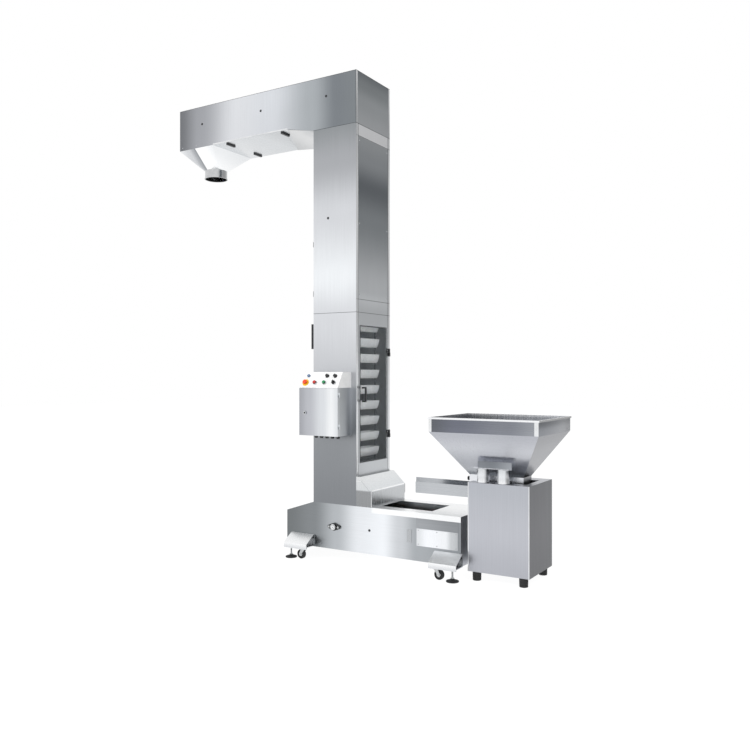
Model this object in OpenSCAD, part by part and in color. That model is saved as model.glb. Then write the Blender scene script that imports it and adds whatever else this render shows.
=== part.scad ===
/* [Sheet metal] */
// Thickness of the housing panels
sheet = 2; // [1.5:0.5:3]
// Gap between two covers that lie side by side
seam = 0.6; // [0.4:0.1:0.9]
// Gap between a moving piece and the pin it turns on
pin_gap = 0.3; // [0.2:0.1:0.5]

/* [Column] */
// Width of the column along the machine
col_w = 440; // [430:10:480]
// Depth of the column, the arm and the base
col_d = 550; // [540:10:600]
// Height of the seam that runs round the column
seam_z = 2112; // [2080:10:2160]
// Height of the band above that seam, on the inlet side
band_h = 110; // [80:10:140]
// Height of the lighter band under the arm, on the inlet side
top_band_h = 100; // [80:10:140]
// How far that band lies below the arm's underside
top_band_drop = 58; // [40:2:80]

/* [Arm] */
// Height of the arm's underside above the floor
arm_z = 3755; // [3500:5:4000]
// Height of the arm
arm_h = 386; // [380:2:420]
// Reach of the arm from the column's axis
arm_reach = 1826; // [1700:2:2100]
// Where the slanting seam under the arm starts, at the front
elbow_front = 560; // [520:10:600]
// Where that seam ends, at the back
elbow_back = 800; // [720:10:860]

/* [Base] */
// Height of the base's top edge
base_top = 485; // [480:1:500]
// Height of the base's lower edge
base_low = 100; // [96:1:104]
// Reach of the base from the column's axis, feeder side
base_right = 1184; // [1160:2:1220]
// Reach of the base on the other side
base_left = 508; // [480:2:560]
// Height of the base at its low end
base_left_top = 392; // [360:2:420]
// Depth of the deck's turned-down lip
lip_h = 42; // [30:1:50]

/* [Feed opening] */
// Start of the feed opening, from the column's axis
feed_x = 400; // [390:2:420]
// Length of the feed opening
feed_l = 474; // [400:2:500]
// Width of the feed opening
feed_w = 320; // [280:2:340]

/* [Inspection window] */
// Lower edge of the window
win_low = 850; // [830:2:880]
// Upper edge of the window
win_high = 1994; // [1900:2:2010]
// Width of the posts beside the window
post_w = 65; // [55:1:75]
// How far the door laps over the frame
door_lap = 12; // [8:1:14]
// Thickness of the clear door
pane_t = 8; // [6:1:10]
// Gap between the closed door and the frame
door_gap = 1.5; // [1:0.5:3]

/* [Inlet hood] */
// Reach of the hood from the column's face
hood_l = 153; // [150:1:170]
// Height of the hood's upright face
hood_front_h = 142; // [120:1:160]
// Height of the hood's top
hood_h = 248; // [230:1:260]
// Length of the hood's level top
hood_flat = 43; // [30:1:60]

/* [Discharge] */
// Length of the discharge hopper's top
drop_l = 430; // [400:2:460]
// Height of the discharge hopper
drop_h = 165; // [150:1:200]
// Outer radius of the spout
spout_r = 108; // [90:1:115]
// Height of the spout
spout_h = 78; // [60:1:90]
// Wall of the spout
spout_wall = 3; // [2:0.5:4]

/* [Control box] */
// Width of the control box
box_w = 390; // [360:2:420]
// Depth of the control box
box_d = 204; // [190:1:220]
// Height of its door
box_h = 400; // [380:2:420]
// Height of its lower edge above the floor
box_z = 1077; // [1000:1:1150]
// Height of the sloping console
console_h = 131; // [120:1:150]
// Depth of the console's slope
console_run = 77; // [60:1:90]
// Depth of the door's pan
door_pan = 14; // [10:1:18]
// Spacing of the buttons
button_pitch = 96; // [90:1:100]

/* [Bucket chain] */
// Radius of the chain's path round a sprocket
turn_r = 115; // [110:1:120]
// Radius of the two inner bends
bend_r = 100; // [90:1:110]
// Height of the lower sprocket shafts
low_shaft_z = 292; // [288:1:296]
// Distance from the column's axis to the tail shaft
tail_x = 978; // [960:2:1000]
// Distance from the column's axis to the discharge shaft
head_x = 1590; // [1500:2:1600]
// Thickness of the chain
chain_t = 12; // [8:1:14]
// Width of the chain
chain_w = 8; // [6:1:10]
// Distance from the middle plane to each chain
chain_y = 194; // [190:1:200]
// Number of buckets
bucket_count = 96; // [90:1:100]
// Width of a bucket's mouth
bucket_w = 112; // [100:1:116]
// Width of a bucket's bottom
bucket_foot = 56; // [46:1:66]
// Height of a bucket
bucket_h = 74; // [64:1:78]
// Length of a bucket
bucket_l = 356; // [340:2:364]
// Wall of a bucket
bucket_wall = 3; // [2.5:0.5:4]
// Radius of a shaft
shaft_r = 17; // [15:1:20]

/* [Feet and casters] */
// Distance of the feet from the middle plane
foot_y = 353; // [345:1:365]
// Place of the foot at the low end
foot_left = 402; // [380:2:420]
// Place of the foot at the tail end
foot_right = 1150; // [1130:2:1160]
// Distance from a foot to its caster
caster_step = 138; // [130:1:145]
// Radius of a foot
foot_r = 50; // [44:1:52]
// Radius of a caster wheel
wheel_r = 40; // [37:1:41]
// Width of a caster wheel
wheel_w = 26; // [22:1:28]
// Gap between a wheel and the floor
wheel_lift = 2; // [1.5:0.5:4]
// Trail of a caster
trail = 26; // [20:1:28]

/* [Feeder] */
// Distance from the column's axis to the feeder stand
stand_x = 1225; // [1215:1:1250]
// Side of the square stand
stand_w = 500; // [480:2:520]
// Height of the stand's top
stand_top_z = 757; // [740:1:770]
// Height of the stand's rubber feet
stand_foot_h = 70; // [60:1:80]
// Middle of the stand, from the column's middle plane
stand_y = 12; // [0:1:20]
// Thickness of the feeder's panels
feeder_sheet = 3; // [2:0.5:4]
// Length of the hopper's mouth
hopper_l = 888; // [840:2:920]
// Width of the hopper's mouth
hopper_w = 720; // [680:2:740]
// Height of the hopper's rim above the floor
hopper_z = 1257; // [1220:1:1300]
// Height of the hopper's upright band
rim_h = 115; // [100:1:130]
// Height of the hopper's neck above the floor
neck_z = 800; // [790:1:812]
// Length of the hopper's neck
neck_l = 450; // [440:2:460]
// Width of the hopper's neck
neck_w = 170; // [150:2:176]
// Underside of the trough
trough_z = 620; // [610:1:630]
// Height of the trough's walls
trough_h = 90; // [80:1:95]
// Width of the trough
trough_w = 260; // [240:2:264]
// Reach of the trough's long wall, from the column's axis
trough_tip = 570; // [540:2:600]
// How much shorter the near wall is
trough_bias = 136; // [100:2:150]

/* [Hidden] */

$fn = 48;
hull_fn = 32;
half_w = col_w / 2;
half_d = col_d / 2;
inner_d = col_d - 2 * sheet;
arm_top_z = arm_z + arm_h;
top_band_z = arm_z - top_band_drop;
steel = "#b9bdc2";
bright = "#d3d6da";
dark = "#26282b";
plastic = "#f2f3f4";

// The origin lies under the middle of the whole machine.
estop_reach = 30;
estop_r = 20;
console_tilt = atan2(console_h, console_run);
button_rows = [0.31, 0.74];
front_reach = half_d + box_d - console_run * button_rows[0]
    + estop_reach * sin(console_tilt) + estop_r * cos(console_tilt);
back_reach = foot_y + foot_r;
hopper_mid_x = 1400;
hopper_mid_y = -12;
rim_lip = 8;
machine_right = hopper_mid_x + hopper_l / 2 + rim_lip;
centre_x = (machine_right - arm_reach) / 2;
centre_y = (back_reach - front_reach) / 2;

module placed() {
    translate([-centre_x, -centre_y, 0]) children();
}

// A panel in the plane of the machine, y0 is its front face.
module upright(y0, t) {
    translate([0, y0 + t, 0]) rotate([90, 0, 0]) linear_extrude(t) children();
}

// A box between two corners.
module block(a, b) {
    translate(a) cube([b[0] - a[0], b[1] - a[1], b[2] - a[2]]);
}

// A round bar along Y between two depths.
module bar_y(x, z, r, y0, y1) {
    translate([x, y1, z]) rotate([90, 0, 0]) cylinder(r = r, h = y1 - y0);
}

// Base

module base_outline() {
    polygon([
        [-base_left, base_low], [base_right, base_low], [base_right, base_top],
        [-half_w, base_top], [-base_left, base_left_top]
    ]);
}

shaft_hole_r = shaft_r + 3;
module base_side(y0) {
    color(steel) upright(y0, sheet) difference() {
        base_outline();
        translate([0, low_shaft_z]) circle(r = shaft_hole_r);
        translate([tail_x, low_shaft_z]) square([tail_slot_l, 2 * shaft_hole_r], center = true);
    }
}
tail_slot_l = 220;

module base_side_front() base_side(-half_d);
module base_side_back() base_side(half_d - sheet);

module base_ends() {
    color(steel) {
        block([base_right - sheet, -inner_d / 2, base_low], [base_right, inner_d / 2, base_top]);
        block([-base_left, -inner_d / 2, base_low], [-base_left + sheet, inner_d / 2, base_left_top - sheet]);
    }
}

module base_slope_cover() {
    color(steel) upright(-inner_d / 2, inner_d) polygon([
        [-base_left, base_left_top], [-half_w, base_top],
        [-half_w, base_top - sheet], [-base_left, base_left_top - sheet]
    ]);
}

module base_floor() {
    color(steel) block(
        [-base_left + sheet, -inner_d / 2, base_low],
        [base_right - sheet, inner_d / 2, base_low + sheet]
    );
}

hood_x = half_w + hood_l;
module base_deck() {
    outer = half_d + sheet;
    color(bright) {
        difference() {
            block([hood_x, -outer, base_top], [base_right, outer, base_top + sheet]);
            block([feed_x, -feed_w / 2, base_top - 1], [feed_x + feed_l, feed_w / 2, base_top + sheet + 1]);
        }
        for (s = [-1, 1]) scale_y(s)
            block([hood_x, half_d, base_top - lip_h], [base_right, outer, base_top]);
    }
}

// Mirrors a piece to the back when s is 1 and leaves it there, or turns it to the front.
module scale_y(s) {
    mirror([0, s < 0 ? 1 : 0, 0]) children();
}

cover_l = 364;
cover_h = 138;
cover_t = 3;
slot_cover_x = 728;
slot_cover_l = 42;
slot_cover_h = 104;
module tail_covers() {
    color(bright) for (s = [-1, 1]) scale_y(s) {
        block(
            [tail_x - cover_l / 2, half_d, low_shaft_z - cover_h / 2],
            [tail_x + cover_l / 2, half_d + cover_t, low_shaft_z + cover_h / 2]
        );
        block(
            [slot_cover_x - slot_cover_l / 2, half_d, low_shaft_z - slot_cover_h / 2],
            [slot_cover_x + slot_cover_l / 2, half_d + cover_t, low_shaft_z + slot_cover_h / 2]
        );
    }
}

// Two-bolt flange bearings that carry the lower drive shaft.
bearing_step = 46;
bearing_ear_r = 16;
bearing_r = 32;
bearing_t = 14;
bearing_hub = 26;
module shaft_bearings() {
    color(dark) for (s = [-1, 1]) scale_y(s) translate([0, half_d, low_shaft_z]) rotate([-90, 0, 0]) {
        difference() {
            union() {
                linear_extrude(bearing_t) hull() {
                    circle(r = bearing_r, $fn = hull_fn);
                    for (e = [-1, 1]) translate([e * bearing_step, 0]) circle(r = bearing_ear_r, $fn = hull_fn);
                }
                cylinder(r = bearing_r - 6, h = bearing_hub);
            }
            translate([0, 0, -1]) cylinder(r = shaft_r + 0.2, h = bearing_hub + 2);
        }
    }
}

// Outriggers, feet and casters

carrier_z = base_low + 4;
carrier_t = 6;
outrigger_y = foot_y + 42;
outrigger_l = 240;
outrigger_over = 50;
outrigger_top = base_low + 105;
skirt_low = base_low - 10;
skirt_top = carrier_z + carrier_t + 24;
flare_t = 4;
// A folded sheet: it leaves the base, slopes outwards and turns down over the carrier.
module outrigger(x0) {
    shoulder = half_d + 2 * flare_t;
    inner_y = outrigger_y - flare_t;
    along_x(x0, outrigger_l) difference() {
        polygon([
            [half_d, carrier_z], [half_d, outrigger_top], [shoulder, outrigger_top],
            [outrigger_y, skirt_top], [outrigger_y, skirt_low], [inner_y, skirt_low], [inner_y, carrier_z]
        ]);
        polygon([
            [half_d + flare_t, carrier_z + carrier_t], [half_d + flare_t, outrigger_top - flare_t],
            [shoulder, outrigger_top - flare_t],
            [inner_y, skirt_top - flare_t / 2], [inner_y, carrier_z + carrier_t]
        ]);
    }
}

module outriggers() {
    color(bright) for (s = [-1, 1]) scale_y(s) {
        difference() {
            outrigger(-foot_left - outrigger_over);
            stud_hole(-foot_left);
        }
        difference() {
            outrigger(foot_right + outrigger_over - outrigger_l);
            stud_hole(foot_right);
        }
    }
}

stud_r = 8;
module stud_hole(x) {
    translate([x, foot_y, carrier_z - 1]) cylinder(r = stud_r + 0.5, h = carrier_t + 2);
}

foot_h = 18;
foot_taper = 8;
nut_r = 14;
nut_h = 12;
module levelling_foot() {
    color(dark) {
        cylinder(r = foot_r, h = foot_h - foot_taper);
        translate([0, 0, foot_h - foot_taper]) cylinder(r1 = foot_r, r2 = foot_r * 0.6, h = foot_taper);
    }
    color(bright) {
        translate([0, 0, foot_h]) cylinder(r = stud_r + 4, h = 10);
        cylinder(r = stud_r, h = carrier_z + carrier_t + nut_h + 14);
        translate([0, 0, carrier_z - nut_h]) cylinder(r = nut_r, h = nut_h, $fn = 6);
        translate([0, 0, carrier_z + carrier_t]) cylinder(r = nut_r, h = nut_h, $fn = 6);
    }
}

module levelling_feet() {
    for (s = [-1, 1], x = [-foot_left, foot_right]) translate([x, s * foot_y, 0]) levelling_foot();
}

// Each entry is the swivel's place and the side to which the wheel trails.
caster_left_x = -foot_left + caster_step;
caster_right_x = foot_right - caster_step;
plate_t = 4;
plate_half = 36;
race_r = 26;
race_h = 6;
race_z = carrier_z - plate_t - race_h;
kingpin_r = 6;
module caster_plates() {
    color(bright) for (s = [-1, 1], x = [caster_left_x, caster_right_x]) translate([x, s * foot_y, 0]) {
        block([-plate_half, -plate_half, carrier_z - plate_t], [plate_half, plate_half, carrier_z]);
        translate([0, 0, race_z]) cylinder(r = race_r, h = race_h);
        translate([0, 0, race_z - 8]) cylinder(r = kingpin_r, h = 9);
    }
}

axle_z = wheel_r + wheel_lift;
axle_r = 5;
leg_t = 3;
leg_gap = 3;
crown_t = 4;
crown_z = race_z - pin_gap - crown_t;
leg_y = wheel_w / 2 + leg_gap;
// A pressed fork: a crown under the race and two tapering legs.
module fork(dir) {
    color(bright) {
        difference() {
            translate([0, 0, crown_z]) cylinder(r = race_r, h = crown_t);
            translate([0, 0, crown_z - 1]) cylinder(r = kingpin_r + pin_gap, h = crown_t + 2);
        }
        for (s = [-1, 1]) translate([0, s * (leg_y + leg_t / 2) + leg_t / 2, 0]) rotate([90, 0, 0])
            linear_extrude(leg_t) difference() {
                polygon([
                    [-dir * 16, crown_z + crown_t], [dir * 20, crown_z + crown_t],
                    [dir * (trail + 11), axle_z + 4], [dir * (trail + 8), axle_z - 9],
                    [dir * (trail - 8), axle_z - 9], [dir * (trail - 12), axle_z + 4],
                    [-dir * 16, crown_z - 6]
                ]);
                translate([dir * trail, axle_z]) circle(r = axle_r);
            }
        translate([dir * trail, leg_y + leg_t + 3, axle_z]) rotate([90, 0, 0])
            cylinder(r = axle_r, h = 2 * (leg_y + leg_t + 3));
    }
}

hub_r = 15;
module wheel(dir) {
    color(dark) translate([dir * trail, 0, axle_z]) rotate([90, 0, 0]) difference() {
        translate([0, 0, -wheel_w / 2]) {
            rotate_extrude() polygon([
                [0, -1.5], [hub_r, -1.5], [hub_r, 4], [wheel_r - 9, 4], [wheel_r - 8, 0],
                [wheel_r - 3, 0], [wheel_r, 4], [wheel_r, wheel_w - 4], [wheel_r - 3, wheel_w],
                [wheel_r - 8, wheel_w], [wheel_r - 9, wheel_w - 4], [hub_r, wheel_w - 4],
                [hub_r, wheel_w + 1.5], [0, wheel_w + 1.5]
            ]);
        }
        cylinder(r = axle_r + pin_gap, h = 2 * wheel_w, center = true);
    }
}

module at_caster(x, s) translate([x, s * foot_y, 0]) children();
module fork_left_front() at_caster(caster_left_x, -1) fork(-1);
module fork_left_back() at_caster(caster_left_x, 1) fork(-1);
module fork_right_front() at_caster(caster_right_x, -1) fork(1);
module fork_right_back() at_caster(caster_right_x, 1) fork(1);
module wheel_left_front() at_caster(caster_left_x, -1) wheel(-1);
module wheel_left_back() at_caster(caster_left_x, 1) wheel(-1);
module wheel_right_front() at_caster(caster_right_x, -1) wheel(1);
module wheel_right_back() at_caster(caster_right_x, 1) wheel(1);

// Column

module column_side(y0) {
    color(steel) {
        block([-half_w, y0, base_top], [half_w, y0 + sheet, seam_z - seam / 2]);
        block([-half_w, y0, seam_z + seam / 2], [half_w, y0 + sheet, arm_z]);
    }
}
module column_front() column_side(-half_d);
module column_back() column_side(half_d - sheet);

module column_left() {
    color(steel) block([-half_w, -inner_d / 2, base_top], [-half_w + sheet, inner_d / 2, arm_z]);
}

// The inlet side's covers, one above the other.
module right_panel(z0, z1) {
    block([half_w - sheet, -inner_d / 2, z0 + seam / 2], [half_w, inner_d / 2, z1 - seam / 2]);
}
module column_right_panels() {
    color(steel) {
        right_panel(seam_z, seam_z + band_h);
        right_panel(seam_z + band_h, top_band_z - top_band_h);
        right_panel(top_band_z - top_band_h, top_band_z);
    }
}

win_half = half_d - post_w;
hood_top_z = base_top + hood_h;
module window_frame() {
    color(bright) difference() {
        right_panel(hood_top_z, seam_z);
        block([half_w - sheet - 1, -win_half, win_low], [half_w + 1, win_half, win_high]);
    }
}

// The clear door hangs on two hinges at its far edge.
pane_x = half_w + door_gap;
hinge_x = pane_x + pane_t + 8;
hinge_y = win_half + door_lap + 16;
hinge_zs = [win_low + 212, win_high - 212];
knuckle_r = 8;
knuckle_h = 34;
hinge_pin_r = 3;
module window_hinges() {
    color(dark) for (z = hinge_zs) {
        block([half_w, hinge_y - 4, z - knuckle_h], [hinge_x, hinge_y + 20, z - 0.5]);
        translate([hinge_x, hinge_y, z - knuckle_h]) cylinder(r = knuckle_r, h = knuckle_h - 0.5);
        translate([hinge_x, hinge_y, z - knuckle_h]) cylinder(r = hinge_pin_r, h = 2 * knuckle_h - 2);
    }
}

module window_door() {
    lap = win_half + door_lap;
    color([0.8, 0.85, 0.9, 0.35]) block([pane_x, -lap, win_low - door_lap], [pane_x + pane_t, lap, win_high + door_lap]);
}

handle_mid_z = 1418;
handle_l = 128;
handle_t = 14;
handle_reach = 40;
handle_y = -win_half + 16;
module window_handle() {
    x0 = pane_x + pane_t;
    color(dark) {
        // Upper halves of the two hinges
        for (z = hinge_zs) difference() {
            union() {
                translate([hinge_x, hinge_y, z]) cylinder(r = knuckle_r, h = knuckle_h);
                block([x0, hinge_y - 38, z + 2], [x0 + 6, hinge_y, z + knuckle_h]);
            }
            translate([hinge_x, hinge_y, z - 1]) cylinder(r = hinge_pin_r + pin_gap, h = knuckle_h);
        }
        // Pull handle with its two posts
        difference() {
            block([x0, handle_y - handle_t / 2, handle_mid_z - handle_l / 2],
                [x0 + handle_reach, handle_y + handle_t / 2, handle_mid_z + handle_l / 2]);
            block([x0 - 1, handle_y - handle_t, handle_mid_z - handle_l / 2 + 14],
                [x0 + handle_reach - 12, handle_y + handle_t, handle_mid_z + handle_l / 2 - 14]);
        }
    }
}

module hood_outline(inset) {
    polygon([
        [half_w, base_top - (inset > 0 ? 1 : 0)], [hood_x - inset, base_top - (inset > 0 ? 1 : 0)],
        [hood_x - inset, base_top + hood_front_h - inset * 0.4],
        [half_w + hood_flat - inset * 0.4, hood_top_z - inset], [half_w, hood_top_z - inset]
    ]);
}

module inlet_hood() {
    color(bright) difference() {
        upright(-half_d, col_d) hood_outline(0);
        upright(-inner_d / 2, inner_d) translate([-1, 0]) hood_outline(sheet);
        block([half_w - 1, -inner_d / 2, base_top - 1], [half_w + 4, inner_d / 2, hood_top_z - sheet]);
    }
}

hood_grip_low = 536;
hood_grip_high = 669;
hood_knob_r = 13;
module hood_handle() {
    y0 = half_d;
    grip_x = hood_x - 34;
    color(dark) {
        difference() {
            block([grip_x, y0, hood_grip_low], [grip_x + 16, y0 + 42, hood_grip_high - 50]);
            block([grip_x - 1, y0 - 1, hood_grip_low + 14], [grip_x + 17, y0 + 30, hood_grip_high - 64]);
        }
        translate([half_w + 22, y0, hood_top_z - 36]) rotate([-90, 0, 0]) {
            cylinder(r = 7, h = 14);
            translate([0, 0, 14]) cylinder(r = hood_knob_r, h = 16);
        }
    }
}

// Draw latches on the covers: small bodies that stand proud of the sheet.
latch_l = 46;
latch_w = 18;
latch_t = 16;
left_latch_zs = [2286, 2714];
left_grip_low = 1808;
left_grip_high = 2024;
back_latch_zs = [811, 901, 1416, 1591, seam_z - 30];
arm_bar_l = 107;
module cover_latches() {
    color(dark) {
        for (s = [-1, 1], z = left_latch_zs)
            scale_y(s) block([-half_w - latch_t, half_d - 34, z - latch_l / 2], [-half_w, half_d - 34 + latch_w, z + latch_l / 2]);
        for (z = back_latch_zs)
            block([half_w - 34, half_d, z - latch_l / 2], [half_w - 34 + latch_w, half_d + latch_t, z + latch_l / 2]);
        for (s = [-1, 1], x = [1241, 593])
            scale_y(s) block([-x - 10, 141, arm_z - latch_t], [-x + 10, 141 + arm_bar_l, arm_z - sheet]);
        difference() {
            block([-half_w - 38, -half_d + 20, left_grip_low], [-half_w, -half_d + 36, left_grip_high]);
            block([-half_w - 26, -half_d + 19, left_grip_low + 16], [-half_w + 1, -half_d + 37, left_grip_high - 16]);
        }
    }
}

// Arm

module arm_side(y0) {
    color(steel) block([-arm_reach, y0, arm_z], [half_w, y0 + sheet, arm_top_z]);
}
module arm_front() arm_side(-half_d);
module arm_back() arm_side(half_d - sheet);

module arm_top() {
    color(steel) block([-arm_reach, -inner_d / 2, arm_top_z - sheet], [half_w, inner_d / 2, arm_top_z]);
}

module arm_ends() {
    color(steel) {
        block([-arm_reach, -inner_d / 2, arm_z], [-arm_reach + sheet, inner_d / 2, arm_top_z - sheet]);
        block([half_w - sheet, -inner_d / 2, top_band_z + seam / 2], [half_w, inner_d / 2, arm_top_z - sheet]);
    }
}

// Two covers under the arm, parted by a slanting seam.
drop_right = -arm_reach + drop_l;
module arm_floor() {
    color(bright) translate([0, 0, arm_z - sheet]) linear_extrude(sheet) {
        polygon([
            [drop_right + sheet, -half_d], [-elbow_front - seam, -half_d],
            [-elbow_back - seam, half_d], [drop_right + sheet, half_d]
        ]);
        polygon([
            [-elbow_front, -half_d], [-half_w - seam, -half_d],
            [-half_w - seam, half_d], [-elbow_back, half_d]
        ]);
    }
}

// Square to round, with a flange that closes on the arm.
spout_x = -arm_reach + drop_l / 2;
drop_low_z = arm_z - drop_h;
module drop_solid(inset, over) {
    slab = 0.5;
    hull() {
        translate([-arm_reach + inset, -half_d + inset, arm_z - slab + over])
            cube([drop_l - 2 * inset, col_d - 2 * inset, slab]);
        translate([spout_x, 0, drop_low_z - over]) cylinder(r = spout_r - inset, h = slab, $fn = hull_fn);
    }
}

module discharge_hopper() {
    color(bright) difference() {
        drop_solid(0, 0);
        drop_solid(sheet, 1);
    }
}

module discharge_spout() {
    color(bright) translate([spout_x, 0, drop_low_z - spout_h]) difference() {
        union() {
            cylinder(r = spout_r, h = spout_h);
            cylinder(r = spout_r + 5, h = 6);
        }
        translate([0, 0, -1]) cylinder(r = spout_r - spout_wall, h = spout_h + 2);
    }
}

// Control box on the column's front

box_left = -half_w;
box_right = box_left + box_w;
box_front = -half_d - box_d;
box_top = box_z + box_h;
body_front = box_front + door_pan + 2;
module control_box() {
    color(steel) difference() {
        block([box_left, body_front, box_z], [box_right, -half_d, box_top]);
        block([box_left + sheet, body_front - 1, box_z + sheet], [box_right - sheet, -half_d - sheet, box_top - sheet]);
    }
    color(steel) for (z = door_hinge_zs) {
        block([box_right, door_hinge_y - 2, z - 20], [door_hinge_x, door_hinge_y + 14, z - 0.5]);
        translate([door_hinge_x, door_hinge_y, z - 20]) cylinder(r = 5, h = 19.5);
        translate([door_hinge_x, door_hinge_y, z - 20]) cylinder(r = 2, h = 38);
    }
}

door_hinge_x = box_right + 6;
door_hinge_y = body_front + 3;
door_hinge_zs = [box_z + 80, box_z + box_h - 60];
lock_x = box_left + 60;
door_clear = 2;
module control_door() {
    color(steel) {
        difference() {
            block([box_left, box_front, box_z], [box_right, box_front + door_pan, box_top - door_clear]);
            block([box_left + sheet, box_front + sheet, box_z + sheet],
                [box_right - sheet, box_front + door_pan + 1, box_top - door_clear - sheet]);
        }
        for (z = door_hinge_zs) difference() {
            union() {
                translate([door_hinge_x, door_hinge_y, z]) cylinder(r = 5, h = 20);
                block([box_right - 1, box_front + door_pan - 8, z + 1], [door_hinge_x, box_front + door_pan - 2, z + 20]);
                block([door_hinge_x - 5, box_front + door_pan - 8, z + 1], [door_hinge_x, door_hinge_y - 3, z + 20]);
            }
            translate([door_hinge_x, door_hinge_y, z - 1]) cylinder(r = 2 + pin_gap, h = 22);
        }
        translate([lock_x, box_front + 1, box_z + box_h / 2 - 10]) rotate([90, 0, 0]) cylinder(r = 14, h = 7);
    }
}

module console_outline(inset) {
    polygon([
        [box_front + inset * 1.5, box_top + inset],
        [box_front + console_run + inset * 0.5, box_top + console_h - inset],
        [-half_d - inset, box_top + console_h - inset],
        [-half_d - inset, box_top + inset]
    ]);
}

// Turns a drawing in the YZ plane upright along X.
module along_x(x0, l) {
    translate([x0, 0, 0]) rotate([90, 0, 90]) linear_extrude(l) children();
}

button_xs = [for (i = [0:3]) box_left + box_w / 2 + (i - 1.5) * button_pitch];
// Places a control on the slope, its own Z pointing out.
module on_slope(x, row) {
    translate([x, box_front + console_run * row, box_top + console_h * row]) rotate([console_tilt, 0, 0]) children();
}
stem_r = 10;
module console() {
    color(plastic) difference() {
        along_x(box_left, box_w) console_outline(0);
        along_x(box_left + sheet, box_w - 2 * sheet) console_outline(sheet);
        for (x = button_xs) on_slope(x, button_rows[0]) translate([0, 0, -12]) cylinder(r = stem_r + 1, h = 24);
    }
}

ring_h = 5;
collar_h = 9;
collar_r = 17;
estop_ring_r = 30;
push_travel = 5;
// Fixed rings, knobs and lamp of the console.
module control_fittings() {
    for (i = [0:3]) on_slope(button_xs[i], button_rows[0]) color(i == 0 ? "gold" : dark) difference() {
        cylinder(r = i == 0 ? estop_ring_r : collar_r, h = i == 0 ? ring_h : collar_h);
        translate([0, 0, -1]) cylinder(r = stem_r + 0.5, h = collar_h + 2);
    }
    on_slope(button_xs[0] + 10, button_rows[1]) color("#5b7fa8") cylinder(r = 13, h = 12);
    on_slope(button_xs[2] + 8, button_rows[1]) color(dark) {
        cylinder(r = 17, h = 4);
        cylinder(r = 12, h = 20);
    }
    on_slope(button_xs[3] - 8, button_rows[1]) color(dark) {
        cylinder(r = 17, h = 4);
        cylinder(r = 12, h = 20);
    }
}

// A button head on its stem, clear of the ring below it by more than its travel.
module push_head(ring, r, h) {
    translate([0, 0, -8]) cylinder(r = stem_r, h = ring + push_travel + 9);
    translate([0, 0, ring + push_travel + 0.5]) cylinder(r = r, h = h);
}

module estop_button() {
    color("red") on_slope(button_xs[0], button_rows[0])
        push_head(ring_h, estop_r, estop_reach - ring_h - push_travel - 0.5);
}
module red_button() color("#c8281e") on_slope(button_xs[1], button_rows[0]) push_head(collar_h, 14, 8);
module green_button() color("#1f8a4c") on_slope(button_xs[2], button_rows[0]) push_head(collar_h, 14, 8);
module selector_knob() {
    color(dark) on_slope(button_xs[3], button_rows[0]) {
        push_head(collar_h, 15, 6);
        translate([0, 0, collar_h + push_travel + 12]) cube([8, 28, 12], center = true);
    }
}

gland_step = 56;
module cable_glands() {
    color(dark) for (i = [0:4]) translate([box_left + box_w / 2 + 19 + (i - 2) * gland_step, -half_d - box_d / 2, box_z]) {
        translate([0, 0, -8]) cylinder(r = 17, h = 8, $fn = 6);
        translate([0, 0, -26]) cylinder(r = 13, h = 18);
    }
}

// Bucket chain

head_z = arm_z + arm_h / 2;
// The room inside the chain's path, grown by d.
module loop_region(d) {
    r = turn_r + d;
    difference() {
        union() {
            translate([0, low_shaft_z - r]) square([tail_x, 2 * r]);
            translate([-r, low_shaft_z]) square([2 * r, head_z - low_shaft_z]);
            translate([-head_x, head_z - r]) square([head_x, 2 * r]);
            translate([0, low_shaft_z]) circle(r = r);
            translate([tail_x, low_shaft_z]) circle(r = r);
            translate([0, head_z]) circle(r = r);
            translate([-head_x, head_z]) circle(r = r);
            translate([turn_r, low_shaft_z + turn_r]) square(bend_r);
            translate([-turn_r - bend_r, head_z - turn_r - bend_r]) square(bend_r);
        }
        translate([turn_r + bend_r, low_shaft_z + turn_r + bend_r]) circle(r = bend_r - d);
        translate([-turn_r - bend_r, head_z - turn_r - bend_r]) circle(r = bend_r - d);
    }
}

module chains() {
    color("#8d9196") for (s = [-1, 1]) scale_y(s) upright(chain_y - chain_w / 2, chain_w) difference() {
        loop_region(chain_t / 2);
        loop_region(-chain_t / 2);
    }
}

// Lengths of the path's stretches, in the direction of travel, from the tail's top.
rise = head_z - low_shaft_z - turn_r - bend_r;
turn_len = PI * turn_r / 2;
bend_len = PI * bend_r / 2;
stretches = [
    tail_x - turn_r - bend_r, bend_len, rise, turn_len, head_x, 2 * turn_len,
    head_x - turn_r - bend_r, bend_len, rise, turn_len, tail_x, 2 * turn_len
];
function sum_to(n) = n <= 0 ? 0 : stretches[n - 1] + sum_to(n - 1);
loop_len = sum_to(len(stretches));
function stretch_of(s, n = 0) = s <= sum_to(n + 1) || n == len(stretches) - 1 ? n : stretch_of(s, n + 1);
function on_arc(c, r, a) = [c[0] + r * cos(a), c[1] + r * sin(a)];
bend_low = [turn_r + bend_r, low_shaft_z + turn_r + bend_r];
bend_high = [-turn_r - bend_r, head_z - turn_r - bend_r];
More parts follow.
